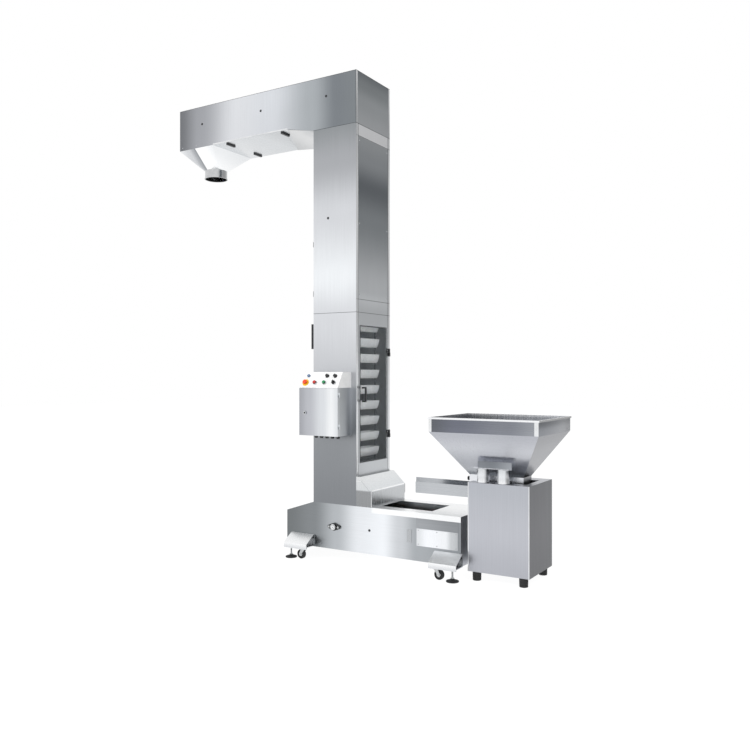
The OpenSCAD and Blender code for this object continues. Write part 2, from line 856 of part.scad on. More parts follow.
// The place of a point that has gone a distance t along stretch n.
function path_point(n, t) =
    n == 0 ? [tail_x - t, low_shaft_z + turn_r] :
    n == 1 ? on_arc(bend_low, bend_r, 270 - 90 * t / bend_len) :
    n == 2 ? [turn_r, bend_low[1] + t] :
    n == 3 ? on_arc([0, head_z], turn_r, 90 * t / turn_len) :
    n == 4 ? [-t, head_z + turn_r] :
    n == 5 ? on_arc([-head_x, head_z], turn_r, 90 + 90 * t / turn_len) :
    n == 6 ? [-head_x + t, head_z - turn_r] :
    n == 7 ? on_arc(bend_high, bend_r, 90 - 90 * t / bend_len) :
    n == 8 ? [-turn_r, bend_high[1] - t] :
    n == 9 ? on_arc([0, low_shaft_z], turn_r, 180 + 90 * t / turn_len) :
    n == 10 ? [t, low_shaft_z - turn_r] :
    on_arc([tail_x, low_shaft_z], turn_r, 270 + 90 * t / turn_len);
bucket_pitch = loop_len / bucket_count;
function bucket_at(i) = let (s = i * bucket_pitch, n = stretch_of(s)) path_point(n, s - sum_to(n));

pivot_r = 6;
pivot_drop = 12;
module bucket_outline(inset) {
    polygon([
        [-bucket_w / 2 + inset, pivot_drop + (inset > 0 ? 1 : 0)],
        [bucket_w / 2 - inset, pivot_drop + (inset > 0 ? 1 : 0)],
        [bucket_w / 2 - inset, pivot_drop - 18],
        [bucket_foot / 2 - inset * 0.5, pivot_drop - bucket_h + inset],
        [-bucket_foot / 2 + inset * 0.5, pivot_drop - bucket_h + inset],
        [-bucket_w / 2 + inset, pivot_drop - 18]
    ]);
}

module bucket() {
    difference() {
        upright(-bucket_l / 2, bucket_l) bucket_outline(0);
        upright(-bucket_l / 2 + bucket_wall, bucket_l - 2 * bucket_wall) bucket_outline(bucket_wall);
    }
    for (s = [-1, 1]) scale_y(s)
        bar_y(0, 0, pivot_r, bucket_l / 2, chain_y - chain_w / 2);
}

// Buckets that lie under the feed opening, and all the others.
function is_fed(p) = p[1] > low_shaft_z + turn_r - 1 && p[1] < low_shaft_z + turn_r + 1
    && p[0] > feed_x - bucket_w / 2 && p[0] < feed_x + feed_l + bucket_w / 2;
module bucket_row(fed) {
    color(plastic) for (i = [0:bucket_count - 1]) {
        p = bucket_at(i);
        if (is_fed(p) == fed) translate([p[0], 0, p[1]]) bucket();
    }
}
module feed_buckets() bucket_row(true);
module buckets() bucket_row(false);

// Sprockets in the chain's turns, each pair on a shaft, and curved guides in its two inner bends.
sprocket_t = 8;
tooth_count = 19;
tooth_cut_r = 6;
module sprocket_pair(x, z, shaft_half) {
    edge = turn_r - chain_t / 2 - 0.3;
    for (s = [-1, 1]) scale_y(s) upright(chain_y - sprocket_t / 2, sprocket_t) translate([x, z]) difference() {
        circle(r = edge);
        for (i = [0:tooth_count - 1]) rotate(i * 360 / tooth_count)
            translate([edge + 2, 0]) circle(r = tooth_cut_r);
    }
    bar_y(x, z, shaft_r, -shaft_half, shaft_half);
}

guide_t = 8;
stay_r = 8;
module bend_guide(centre, turn) {
    edge = bend_r - chain_t / 2 - 0.3;
    for (s = [-1, 1]) scale_y(s) translate([centre[0], 0, centre[1]]) {
        upright(chain_y - sprocket_t / 2, sprocket_t) rotate(turn) intersection() {
            difference() {
                circle(r = edge);
                circle(r = edge - guide_t);
            }
            square(edge);
        }
        rotate([0, -turn - 45, 0]) bar_y(edge - guide_t / 2, 0, stay_r / 2, chain_y, inner_d / 2);
    }
}

module sprockets() {
    color("#9a9ea3") {
        sprocket_pair(0, low_shaft_z, half_d + bearing_hub + 4);
        sprocket_pair(tail_x, low_shaft_z, half_d);
        sprocket_pair(0, head_z, inner_d / 2);
        sprocket_pair(-head_x, head_z, inner_d / 2);
        bend_guide(bend_low, 180);
        bend_guide(bend_high, 0);
    }
}

// Feeder on its own stand

stand_front = stand_y - stand_w / 2;
stand_back = stand_y + stand_w / 2;
stand_right = stand_x + stand_w;
slot_half = trough_w / 2 + 10;
slot_end = stand_right - 60;
module feeder_stand() {
    color(steel) difference() {
        block([stand_x, stand_front, stand_foot_h], [stand_right, stand_back, stand_top_z - feeder_sheet]);
        block([stand_x + feeder_sheet, stand_front + feeder_sheet, stand_foot_h + feeder_sheet],
            [stand_right - feeder_sheet, stand_back - feeder_sheet, stand_top_z]);
        block([stand_x - 1, -slot_half, trough_z - 15], [stand_x + feeder_sheet + 1, slot_half, stand_top_z]);
    }
}

module feeder_top() {
    z0 = stand_top_z - feeder_sheet;
    color(steel) difference() {
        block([stand_x, stand_front, z0], [stand_right, stand_back, stand_top_z]);
        block([stand_x - 1, -slot_half, z0 - 1], [slot_end, slot_half, stand_top_z + 1]);
    }
}

stand_foot_r = 34;
stand_foot_in = 60;
module feeder_feet() {
    color(dark) for (x = [stand_x + stand_foot_in, stand_right - stand_foot_in],
            y = [stand_front + stand_foot_in - 20, stand_back - stand_foot_in + 20])
        translate([x, y, 0]) cylinder(r1 = stand_foot_r - 3, r2 = stand_foot_r, h = stand_foot_h);
}

vibrator_l = 200;
vibrator_w = 120;
vibrator_h = 140;
shelf_t = 12;
module vibrator() {
    mid = stand_x + stand_w / 2;
    shelf_z = trough_z - vibrator_h;
    color("#6d7176") {
        block([mid - vibrator_l / 2, -vibrator_w / 2, shelf_z], [mid + vibrator_l / 2, vibrator_w / 2, trough_z]);
        block([stand_x + feeder_sheet, -vibrator_w / 2, shelf_z - shelf_t],
            [stand_right - feeder_sheet, vibrator_w / 2, shelf_z]);
    }
}

mount_r = 42;
mount_xs = [1330, 1500];
mount_front_y = -196;
mount_back_y = 184;
mount_top = 868;
module spring_mounts() {
    color(bright) for (x = mount_xs, y = [mount_front_y, mount_back_y]) translate([x, y, stand_top_z]) {
        cylinder(r = mount_r - 4, h = mount_top - stand_top_z);
        cylinder(r = mount_r, h = 12);
        translate([0, 0, mount_top - stand_top_z - 12]) cylinder(r = mount_r, h = 12);
    }
}

trough_end = slot_end - 12;
module feeder_trough() {
    half = trough_w / 2;
    color(bright) difference() {
        translate([0, 0, trough_z]) linear_extrude(trough_h) polygon([
            [trough_tip, half], [trough_tip + trough_bias, -half], [trough_end, -half], [trough_end, half]
        ]);
        block([trough_tip - 1, -half + feeder_sheet, trough_z + feeder_sheet],
            [trough_end - feeder_sheet, half - feeder_sheet, trough_z + trough_h + 1]);
    }
}

// A frustum between a neck and a mouth, made by crossing two upright tapers.
module frustum(inset, z0, z1) {
    mouth_l = hopper_l / 2 - inset;
    mouth_w = hopper_w / 2 - inset;
    n_l = neck_l / 2 - inset;
    n_w = neck_w / 2 - inset;
    slope_top = hopper_z - rim_h;
    translate([hopper_mid_x, hopper_mid_y, 0]) intersection() {
        upright(-hopper_w, 2 * hopper_w) polygon([
            [-n_l, z0], [n_l, z0], [n_l, neck_z], [mouth_l, slope_top], [mouth_l, z1],
            [-mouth_l, z1], [-mouth_l, slope_top], [-n_l, neck_z]
        ]);
        along_x(-hopper_l, 2 * hopper_l) polygon([
            [-n_w, z0], [n_w, z0], [n_w, neck_z], [mouth_w, slope_top], [mouth_w, z1],
            [-mouth_w, z1], [-mouth_w, slope_top], [-n_w, neck_z]
        ]);
    }
}

neck_low = trough_z + 44;
bracket_t = 6;
module feed_hopper() {
    color(bright) {
        difference() {
            union() {
                frustum(0, neck_low, hopper_z);
                // Rolled edge round the mouth
                translate([hopper_mid_x - hopper_l / 2 - rim_lip, hopper_mid_y - hopper_w / 2 - rim_lip, hopper_z - 14])
                    cube([hopper_l + 2 * rim_lip, hopper_w + 2 * rim_lip, 14]);
                // Brackets that carry the hopper on its spring mounts
                block([mount_xs[0] - 60, mount_front_y - 40, mount_top], [mount_xs[1] + 60, hopper_mid_y, mount_top + bracket_t]);
                block([mount_xs[0] - 60, hopper_mid_y, mount_top], [mount_xs[1] + 60, mount_back_y + 40, mount_top + bracket_t]);
            }
            frustum(feeder_sheet, neck_low - 1, hopper_z + 1);
        }
    }
}

placed() base_side_front();
placed() base_side_back();
placed() base_ends();
placed() base_slope_cover();
placed() base_floor();
placed() base_deck();
placed() tail_covers();
placed() shaft_bearings();
placed() outriggers();
placed() levelling_feet();
placed() caster_plates();
placed() column_front();
placed() column_back();
placed() column_left();
placed() column_right_panels();
placed() window_frame();
placed() window_hinges();
placed() window_door();
placed() window_handle();
placed() inlet_hood();
placed() hood_handle();
placed() cover_latches();
placed() arm_front();
placed() arm_back();
placed() arm_top();
placed() arm_ends();
placed() arm_floor();
placed() discharge_hopper();
placed() discharge_spout();
placed() control_box();
placed() control_door();
placed() console();
placed() control_fittings();
placed() cable_glands();
placed() estop_button();
placed() red_button();
placed() green_button();
placed() selector_knob();
placed() chains();
placed() sprockets();
placed() feed_buckets();
placed() buckets();
placed() fork_left_front();
placed() fork_left_back();
placed() fork_right_front();
placed() fork_right_back();
placed() wheel_left_front();
placed() wheel_left_back();
placed() wheel_right_front();
placed() wheel_right_back();
placed() feeder_stand();
placed() feeder_top();
placed() feeder_feet();
placed() vibrator();
placed() spring_mounts();
placed() feeder_trough();
placed() feed_hopper();
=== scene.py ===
"""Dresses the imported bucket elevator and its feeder: finishes, fittings, light and camera."""

import logging
import math
from collections.abc import Callable
from dataclasses import dataclass
from enum import Enum

import bpy
from mathutils import Matrix, Vector


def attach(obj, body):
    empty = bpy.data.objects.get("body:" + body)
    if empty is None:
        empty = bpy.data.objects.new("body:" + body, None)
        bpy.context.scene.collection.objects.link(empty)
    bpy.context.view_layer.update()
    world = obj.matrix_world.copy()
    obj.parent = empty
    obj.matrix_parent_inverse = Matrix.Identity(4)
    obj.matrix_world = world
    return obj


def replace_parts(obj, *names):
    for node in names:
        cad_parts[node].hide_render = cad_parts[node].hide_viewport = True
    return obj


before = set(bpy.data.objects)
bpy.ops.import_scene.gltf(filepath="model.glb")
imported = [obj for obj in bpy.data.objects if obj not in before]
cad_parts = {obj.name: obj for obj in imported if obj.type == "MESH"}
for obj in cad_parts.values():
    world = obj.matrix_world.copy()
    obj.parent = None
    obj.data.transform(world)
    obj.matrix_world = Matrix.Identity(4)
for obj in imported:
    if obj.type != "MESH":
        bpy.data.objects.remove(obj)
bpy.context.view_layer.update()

log = logging.getLogger("bucket_elevator")

MM = 0.001
# The drawing's origin is on the column's axis, and the frame's is under the machine's middle.
CENTRE_X_MM = 13.0
CENTRE_Y_MM = -44.064
ROOT = "root"
# Edges that turn by more than this stay sharp.
SMOOTH_DEG = 35.0
# Noise keeps mostly between these values.
NOISE_LOW, NOISE_HIGH = 0.3, 0.7
# A moulding's colour varies over patches about 83 mm wide.
MOTTLES_PER_METRE = 12.0

Object = bpy.types.Object
Material = bpy.types.Material
Node = bpy.types.Node
Tree = bpy.types.NodeTree
Source = bpy.types.Node | bpy.types.NodeSocket
Span = tuple[float, float]
Point = tuple[float, float, float]
Outline = list[Span]
Stops = tuple[tuple[float, str], ...]

ORIGIN = Vector((0, 0, 0))
FRONT, BACK = Vector((0, -1, 0)), Vector((0, 1, 0))
LEFT, RIGHT = Vector((-1, 0, 0)), Vector((1, 0, 0))
UP = Vector((0, 0, 1))
SIDES = ((-1, FRONT), (1, BACK))
WHITE = (1, 1, 1, 1)


class Axis(Enum):
    """A direction of the drawing."""

    X = 0
    Y = 1
    Z = 2

    def unit(self) -> Vector:
        """Gives the direction as a unit vector."""
        return Vector(tuple(1.0 if i == self.value else 0.0 for i in range(3)))


def at(x: float, y: float, z: float) -> Vector:
    """Turns a point of the drawing, in mm, into the frame, in metres."""
    return Vector(((x - CENTRE_X_MM) * MM, (y - CENTRE_Y_MM) * MM, z * MM))


def along(axis: Axis, value: float) -> float:
    """Turns one coordinate of the drawing, in mm, into the frame, in metres."""
    return at(value, value, value)[axis.value]


# Finishes


def linear(code: str) -> tuple[float, float, float, float]:
    """Turns an sRGB hex colour into the linear values that a shader takes.

    Args:
        code: The colour as six hex digits after a hash sign.

    Returns:
        Red, green, blue and an alpha of one.
    """
    parts = [int(code[i:i + 2], 16) / 255 for i in (1, 3, 5)]
    low, high = 0.04045, 12.92
    return tuple(c / high if c <= low else ((c + 0.055) / 1.055) ** 2.4 for c in parts) + (1.0,)


def connect(tree: Tree, node: Node, links: dict[str | int, Source]) -> None:
    """Feeds a node's inputs.

    Args:
        tree: The node tree that both ends are in.
        node: The node that is fed.
        links: What feeds each input, by its name or number: a socket, or a node's first output.
    """
    for key, source in links.items():
        socket = source.outputs[0] if isinstance(source, Node) else source
        tree.links.new(socket, node.inputs[key])


def add_node(tree: Tree, kind: str, values: dict | None = None, links: dict | None = None) -> Node:
    """Adds a node with its settings and what feeds it.

    Args:
        tree: The node tree that gets the node.
        kind: The node's type, without the prefix that all of them have.
        values: Settings, by the name or number of an input, or else by the node's own property.
        links: What feeds the node's inputs, by the input's name or number.

    Returns:
        The new node.
    """
    node = tree.nodes.new("ShaderNode" + kind)
    for key, value in (values or {}).items():
        if isinstance(key, int) or key in node.inputs:
            node.inputs[key].default_value = value
        else:
            setattr(node, key, value)
    connect(tree, node, links or {})
    return node


def set_stops(ramp: bpy.types.ColorRamp, stops: Stops) -> None:
    """Writes the stops of a new colour ramp.

    Args:
        ramp: The ramp.
        stops: Places from zero to one, the lowest first, each with its sRGB hex colour.
    """
    ramp.elements.remove(ramp.elements[-1])
    for i, (place, code) in enumerate(stops):
        element = ramp.elements.new(place) if i else ramp.elements[0]
        element.position = place
        element.color = linear(code)


def new_material(name: str, values: dict[str, float]) -> tuple[Material, Tree, Node, Node]:
    """Makes a material with its shader and the object's own coordinates.

    Args:
        name: The material's name.
        values: The shader's settings.

    Returns:
        The material, its tree, its shader and its texture coordinates.
    """
    material = bpy.data.materials.new(name)
    material.use_nodes = True
    tree = material.node_tree
    tree.nodes.clear()
    shader = add_node(tree, "BsdfPrincipled", values)
    add_node(tree, "OutputMaterial", links={"Surface": shader})
    return material, tree, shader, add_node(tree, "TexCoord")


@dataclass(frozen=True)
class BrushedSteel:
    """Cold-rolled stainless sheet, brushed along one direction.

    The eye gets a soft grey metal with hair lines along the brushing, slow changes of tone where
    the sheet was rolled and handled, a broad blurred reflection of the room, and painted reflections
    and shade: broad light and dark bands laid on as a colour ramp along one axis, and a painted side
    tone on faces that look right.
    """

    name: str
    # Painted reflections and shade: colours at places in mm along one axis, the lowest first.
    painted_tones: Stops
    painted_tone_axis: Axis = Axis.Z
    brushed: Axis = Axis.Z
    roughness: float = 0.34
    # The real lines are 0.2 mm wide, and they are drawn this wide so that they show.
    line_mm: float = 3.0
    line_length_mm: float = 420.0
    cloud_mm: float = 700.0
    contrast: float = 0.07
    # Painted shade and light: the colour of faces that look right is multiplied by this, on top of the
    # grey side of the room that they reflect.
    painted_right_tone: float = 1.0

    def build(self) -> Material:
        """Makes the material.

        Returns:
            The material, with all its nodes.
        """
        material, tree, shader, coords = new_material(self.name, {"Metallic": 1.0})
        place = coords.outputs["Object"]
        spans = [1 / (self.line_mm * MM)] * 3
        spans[self.brushed.value] = 1 / (self.line_length_mm * MM)
        stretched = add_node(tree, "Mapping", {"Scale": spans}, {"Vector": place})
        lines = add_node(tree, "TexNoise", {"Scale": 1.0, "Detail": 3.0}, {"Vector": stretched})
        clouds = add_node(tree, "TexNoise", {"Scale": 1 / (self.cloud_mm * MM), "Detail": 2.0},
                          {"Vector": place})
        # Painted reflections and shade: a colour ramp along one axis of the object.
        low, high = self.painted_tones[0][0], self.painted_tones[-1][0]
        split = add_node(tree, "SeparateXYZ", links={"Vector": place})
        share = add_node(tree, "MapRange", {
            "From Min": along(self.painted_tone_axis, low), "From Max": along(self.painted_tone_axis, high)
        }, {"Value": split.outputs[self.painted_tone_axis.value]})
        tone = add_node(tree, "ValToRGB", links={"Fac": share})
        tone.color_ramp.interpolation = "EASE"
        set_stops(tone.color_ramp, tuple(((mm - low) / (high - low), code) for mm, code in self.painted_tones))
        both = add_node(tree, "Math", {"operation": "ADD"}, {0: lines, 1: clouds})
        tint = add_node(tree, "MapRange", {
            "From Min": 0.7, "From Max": 1.3, "To Min": 1 - self.contrast, "To Max": 1 + self.contrast
        }, {"Value": both})
        # Painted side shade and light: faces that look right get their colour multiplied by the side tone.
        facing = add_node(tree, "SeparateXYZ", links={"Vector": coords.outputs["Normal"]})
        side = add_node(tree, "MapRange", {
            "From Min": 0.5, "From Max": 0.9, "To Min": 1.0, "To Max": self.painted_right_tone
        }, {"Value": facing.outputs["X"]})
        level = add_node(tree, "Math", {"operation": "MULTIPLY"}, {0: tint, 1: side})
        toned = add_node(tree, "VectorMath", {"operation": "SCALE"}, {0: tone, "Scale": level})
        rough = add_node(tree, "MapRange", {
            "From Min": NOISE_LOW, "From Max": NOISE_HIGH, "To Min": self.roughness - 0.06,
            "To Max": self.roughness + 0.06
        }, {"Value": lines})
        bump = add_node(tree, "Bump", {"Strength": 0.06, "Distance": 0.4 * MM}, {"Height": lines})
        connect(tree, shader, {"Base Color": toned, "Roughness": rough, "Normal": bump})
        return material


@dataclass(frozen=True)
class PlainMetal:
    """A metal without a brushed direction, such as polished or plated steel.

    The eye gets its colour, a sharper reflection, and faint uneven spots from handling.
    """

    name: str
    light: str
    dark: str
    roughness: float
    spot_mm: float = 9.0

    def build(self) -> Material:
        """Makes the material.

        Returns:
            The material, with all its nodes.
        """
        material, tree, shader, coords = new_material(self.name, {"Metallic": 1.0})
        spots = add_node(tree, "TexNoise", {"Scale": 1 / (self.spot_mm * MM), "Detail": 4.0},
                         {"Vector": coords.outputs["Object"]})
        tone = add_node(tree, "ValToRGB", links={"Fac": spots})
        set_stops(tone.color_ramp, ((NOISE_LOW, self.dark), (NOISE_HIGH, self.light)))
        rough = add_node(tree, "MapRange", {
            "From Min": NOISE_LOW, "From Max": NOISE_HIGH, "To Min": self.roughness * 0.7,
            "To Max": self.roughness * 1.3
        }, {"Value": spots})
        connect(tree, shader, {"Base Color": tone, "Roughness": rough})
        return material


@dataclass(frozen=True)
class MouldedPolymer:
    """A moulded plastic or rubber, or a painted casting, with a fine grain from its mould.

    The eye gets an even colour with slight mottling, a soft highlight broken up by the grain.
    """

    name: str
    light: str
    dark: str
    roughness: float
    ior: float = 1.49
    grain_mm: float = 1.2
    grain_depth_mm: float = 0.15
    scatter: float = 0.0
    alpha: float = 1.0

    def build(self) -> Material:
        """Makes the material.

        Returns:
            The material, with all its nodes.
        """
        values = {"IOR": self.ior, "Subsurface Weight": self.scatter, "Alpha": self.alpha}
        material, tree, shader, coords = new_material(self.name, values)
        place = coords.outputs["Object"]
        grain = add_node(tree, "TexNoise", {"Scale": 1 / (self.grain_mm * MM), "Detail": 2.0},
                         {"Vector": place})
        mottle = add_node(tree, "TexNoise", {"Scale": MOTTLES_PER_METRE, "Detail": 3.0}, {"Vector": place})
        tone = add_node(tree, "ValToRGB", links={"Fac": mottle})
        set_stops(tone.color_ramp, ((0.35, self.dark), (0.65, self.light)))
        rough = add_node(tree, "MapRange", {
            "From Min": NOISE_LOW, "From Max": NOISE_HIGH, "To Min": self.roughness - 0.05,
            "To Max": self.roughness + 0.05
        }, {"Value": grain})
        bump = add_node(tree, "Bump", {"Strength": 0.25, "Distance": self.grain_depth_mm * MM},
                        {"Height": grain})
        connect(tree, shader, {"Base Color": tone, "Roughness": rough, "Normal": bump})
        return material


# Brushed sheet reads as soft grey, and its colour ramps are painted reflections and shade, the broad
# light and dark bands that lie on each panel. Folded and formed sheet gets a lighter painted colour,
# and its lower roughness gives a sharper reflection.
ARM_FRONT = BrushedSteel("brushed_steel_arm_front", (
    (-1826, "#7A7C80"), (-1560, "#A7A9AE"), (-1080, "#E0E2E6"), (-700, "#DADDE2"),
    (-250, "#ADB2B6"), (20, "#80858A"), (220, "#84898D"),
), Axis.X)
ARM_SIDE = BrushedSteel("brushed_steel_arm_end", (
    (3690, "#BABDC0"), (3900, "#ACB0B3"), (4040, "#93989B"), (4141, "#7F8488"),
))
COLUMN_FRONT = BrushedSteel("brushed_steel_column_front", (
    (485, "#86898D"), (1050, "#94979B"), (1500, "#C4C6CA"), (2050, "#DCDEE2"),
    (2420, "#F0F3F6"), (2950, "#DADCE0"), (3400, "#ADAFB3"), (3755, "#94989B"),
))
COLUMN_SIDE = BrushedSteel("brushed_steel_column_side", (
    (733, "#C6C9CC"), (2110, "#CDD0D3"), (2224, "#DADDE0"), (2300, "#CFD2D5"), (2900, "#94999D"),
    (3180, "#70757A"), (3420, "#9EA2A6"), (3593, "#A9ADB0"), (3599, "#EDEEF0"), (3755, "#EDEEF0"),
))
# Painted highlight: the corners' folds are lighter than the panels beside them.
CORNER_HIGHLIGHT = BrushedSteel("brushed_steel_corner_fold_highlights", (
    (485, "#D6D8DA"), (2110, "#DDDFE1"), (2900, "#F4F5F6"), (3690, "#D0D2D4"), (4141, "#F4F5F6"),
), roughness=0.28)
COLUMN_BACK = BrushedSteel("brushed_steel_column_back", (
    (485, "#989B9F"), (1500, "#B9BCC0"), (2400, "#D5D8DB"), (3755, "#A3A6AA"),
))
BASE_FRONT = BrushedSteel("brushed_steel_base_front", (
    (-508, "#777B7D"), (-220, "#868A8D"), (20, "#B4B8BC"), (260, "#E4E7EB"),
    (470, "#EDF0F4"), (640, "#C9CCD0"), (800, "#A6AAAE"), (1184, "#8F9397"),
), Axis.X, Axis.X)
BASE_COVER = BrushedSteel("bright_steel_base_covers", (
    (-508, "#9DA1A5"), (300, "#E6E8EA"), (420, "#FAFBFC"), (1184, "#F3F4F5"),
), Axis.X, Axis.X, roughness=0.3, contrast=0.03)
TAIL_COVER = BrushedSteel("bright_steel_tail_covers", (
    (700, "#B2B5B8"), (770, "#B2B5B8"), (790, "#DADDE0"), (900, "#F2F4F8"), (1050, "#EBEDF0"),
    (1110, "#C3C6C9"), (1165, "#B5B8BB"),
), Axis.X, Axis.Z, roughness=0.3, contrast=0.03)
# Painted light: the end faces the stand across a narrow gap, and its colour is lifted to undo the shade
# there.
BASE_END = BrushedSteel("brushed_steel_base_end", (
    (95, "#F4F5F6"), (300, "#E4E6E8"), (485, "#D6D8DA"),
), contrast=0.04)
# Painted light: the hood's faces that look right are lightened by the side tone.
HOOD = BrushedSteel("bright_steel_hood", (
    (485, "#929496"), (610, "#959799"), (628, "#D3D6D8"), (733, "#D8DADB"),
), roughness=0.28, line_mm=2.5, contrast=0.03, painted_right_tone=1.8)
BOX_DOOR = BrushedSteel("brushed_steel_box_door", (
    (-220, "#A9ABB1"), (-120, "#BEC0C6"), (20, "#DDE0E4"), (110, "#F3F5F7"), (170, "#E3E6E9"),
), Axis.X)
BOX_BODY = BrushedSteel("brushed_steel_box_body", (
    (-479, "#D8DBDE"), (-430, "#B6BABD"), (-330, "#AAAEB2"), (-275, "#C4C8CB"),
), Axis.Y)
# Painted shadow: the darker plate under the deck's lip.
LIP_SHADOW = BrushedSteel("brushed_steel_lip_shadow", ((790, "#A2A5A9"), (1164, "#8D9094")), Axis.X, Axis.X)
ELBOW = BrushedSteel("bright_steel_elbow", (
    (-810, "#B7B9BB"), (-430, "#D3D4D5"), (-300, "#C5C7C9"), (-220, "#ABADAF"),
), Axis.X, Axis.Z, roughness=0.24)
ARM_FLOOR = BrushedSteel("bright_steel_arm_floor", (
    (-1400, "#E2E4E6"), (-900, "#D2D5D8"), (-620, "#C4C7CA"), (-420, "#EDEFF1"), (-220, "#C2C5C8"),
), Axis.X, Axis.Y, roughness=0.26)
# Painted shade and highlight: a dark line beside a white one at the fold near x = -1630, and the right part
# kept light.
DROP_HOPPER = BrushedSteel("bright_steel_discharge", (
    (-1826, "#E9EBED"), (-1720, "#D2D4D7"), (-1650, "#A9ACB0"), (-1632, "#8E9195"), (-1622, "#FFFFFF"),
    (-1520, "#FAFBFC"), (-1396, "#EBEDEF"),
), Axis.X, Axis.Z, roughness=0.2)
# Painted shade: the stand's faces that look right keep about a quarter of their colour.
STAND = BrushedSteel("brushed_steel_feeder_stand", (
    (70, "#B4B6BD"), (420, "#BCBEC5"), (754, "#B6B9C0"), (757, "#AEB0B6"),
), brushed=Axis.Z, painted_right_tone=0.24)
# Painted light: the lower slope is lifted almost to white to undo the shade under the hopper, and the faces
# that look right get painted shade.
FEED_HOPPER = BrushedSteel("bright_steel_feed_hopper", (
    (660, "#E6E8EC"), (820, "#E2E4E8"), (900, "#D2D4DA"), (1000, "#CFD1D7"), (1140, "#B9BBC2"),
    (1160, "#C4C6CA"), (1240, "#CBCDD1"), (1243, "#F4F5F7"), (1257, "#F4F5F7"),
), roughness=0.26, line_mm=2.5, contrast=0.04, painted_right_tone=0.36)
HOPPER_BAND = BrushedSteel("brushed_steel_hopper_band", (
    (956, "#676A70"), (1200, "#727580"), (1600, "#84878F"), (1844, "#9A9DA3"),
), Axis.X, Axis.X, roughness=0.3, line_mm=2.5, painted_right_tone=0.8)
BRACKET = BrushedSteel("brushed_steel_brackets", (
    (1300, "#868A90"), (1420, "#7F8389"), (1600, "#A0A4AA"),
), Axis.X)
TROUGH = BrushedSteel("bright_steel_trough", (
    (570, "#AEB1B5"), (900, "#BDC0C4"), (1650, "#A8ABAF"),
), Axis.X, Axis.X, roughness=0.24)
FOLDED = BrushedSteel("bright_steel_outriggers", (
    (90, "#D8DADD"), (140, "#F6F7F8"), (205, "#E8EAEC"),
), roughness=0.25, contrast=0.04)
# Painted shade: the sleeves' faces that look right are darkened.
SPRING_STEEL = BrushedSteel("bright_steel_mounts", (
    (757, "#F4F5F7"), (800, "#E4E6E9"), (868, "#D2D5D8"),
), roughness=0.24, contrast=0.02, painted_right_tone=0.6)
# Turned and plated steel catches single highlights, sharp where polished and dull where oiled.
POLISHED = PlainMetal("polished_steel", "#EFF0F1", "#DCDEE0", 0.16, 90.0)
SPOUT = PlainMetal("polished_steel_spout", "#D0D1D2", "#B9BBBD", 0.16, 60.0)
SCREW_STEEL = PlainMetal("bright_screw_steel", "#D8DADC", "#B4B7BA", 0.2, 3.0)
ZINC = PlainMetal("zinc_plated_steel", "#D4D6D6", "#A8ABAD", 0.3, 6.0)
CHAIN_STEEL = PlainMetal("oiled_chain_steel", "#8F9296", "#5D6064", 0.38, 7.0)
# Castings, nylon and rubber read as black with a soft sheen, and the dark grey joint strips are painted
# shadow.
JOINT_SHADOW = MouldedPolymer("grey_painted_joint_shadow", "#4A4D50", "#3D4043", 0.55, 1.5, 2.0, 0.05)
BLACK_CASTING = MouldedPolymer("black_painted_casting", "#2A2C2F", "#1B1D1F", 0.42, 1.5, 2.5, 0.3)
BLACK_NYLON = MouldedPolymer("black_moulded_nylon", "#222427", "#17181A", 0.4, 1.53, 1.0)
BLACK_RUBBER = MouldedPolymer("black_rubber", "#1E1F21", "#141516", 0.62, 1.52, 1.5, 0.25)
# The buckets and the console read as clean white, and the door as clear.
BUCKET_WHITE = MouldedPolymer("white_moulded_polypropylene", "#F1F2F2", "#E4E6E7", 0.36, 1.49, 1.5, 0.1, 0.05)
CLEAR_PANE = MouldedPolymer("clear_polycarbonate", "#AEB4B8", "#A2A9AD", 0.06, 1.2, 60.0, 0.02, alpha=0.1)
CONSOLE_ENAMEL = MouldedPolymer("white_enamelled_steel", "#F3F3F3", "#E9EAEA", 0.3, 1.5, 2.0, 0.05)
# The controls are glossy and saturated, and the drive is a dull grey.
STOP_RED = MouldedPolymer("orange_red_abs", "#E8481C", "#D93E17", 0.32, 1.53)
RING_YELLOW = MouldedPolymer("yellow_abs", "#F4C21E", "#E5B317", 0.35, 1.53)
PUSH_RED = MouldedPolymer("red_abs", "#C3241C", "#A91D17", 0.3, 1.53)
PUSH_GREEN = MouldedPolymer("green_abs", "#1D8F57", "#177A49", 0.3, 1.53)
LAMP_BLUE = MouldedPolymer("blue_grey_lens", "#7C90AE", "#6A7F9E", 0.25, 1.53)
VIBRATOR_GREY = MouldedPolymer("grey_hammered_enamel", "#7A7E83", "#6A6E73", 0.4, 1.5, 3.0, 0.3)

Finish = BrushedSteel | PlainMetal | MouldedPolymer
_built: dict[str, Material] = {}


def material_of(finish: Finish) -> Material:
    """Gives a finish's material, and makes it the first time.

    Args:
        finish: The finish.

    Returns:
        Its material.
    """
    if finish.name not in _built:
        _built[finish.name] = finish.build()
    return _built[finish.name]


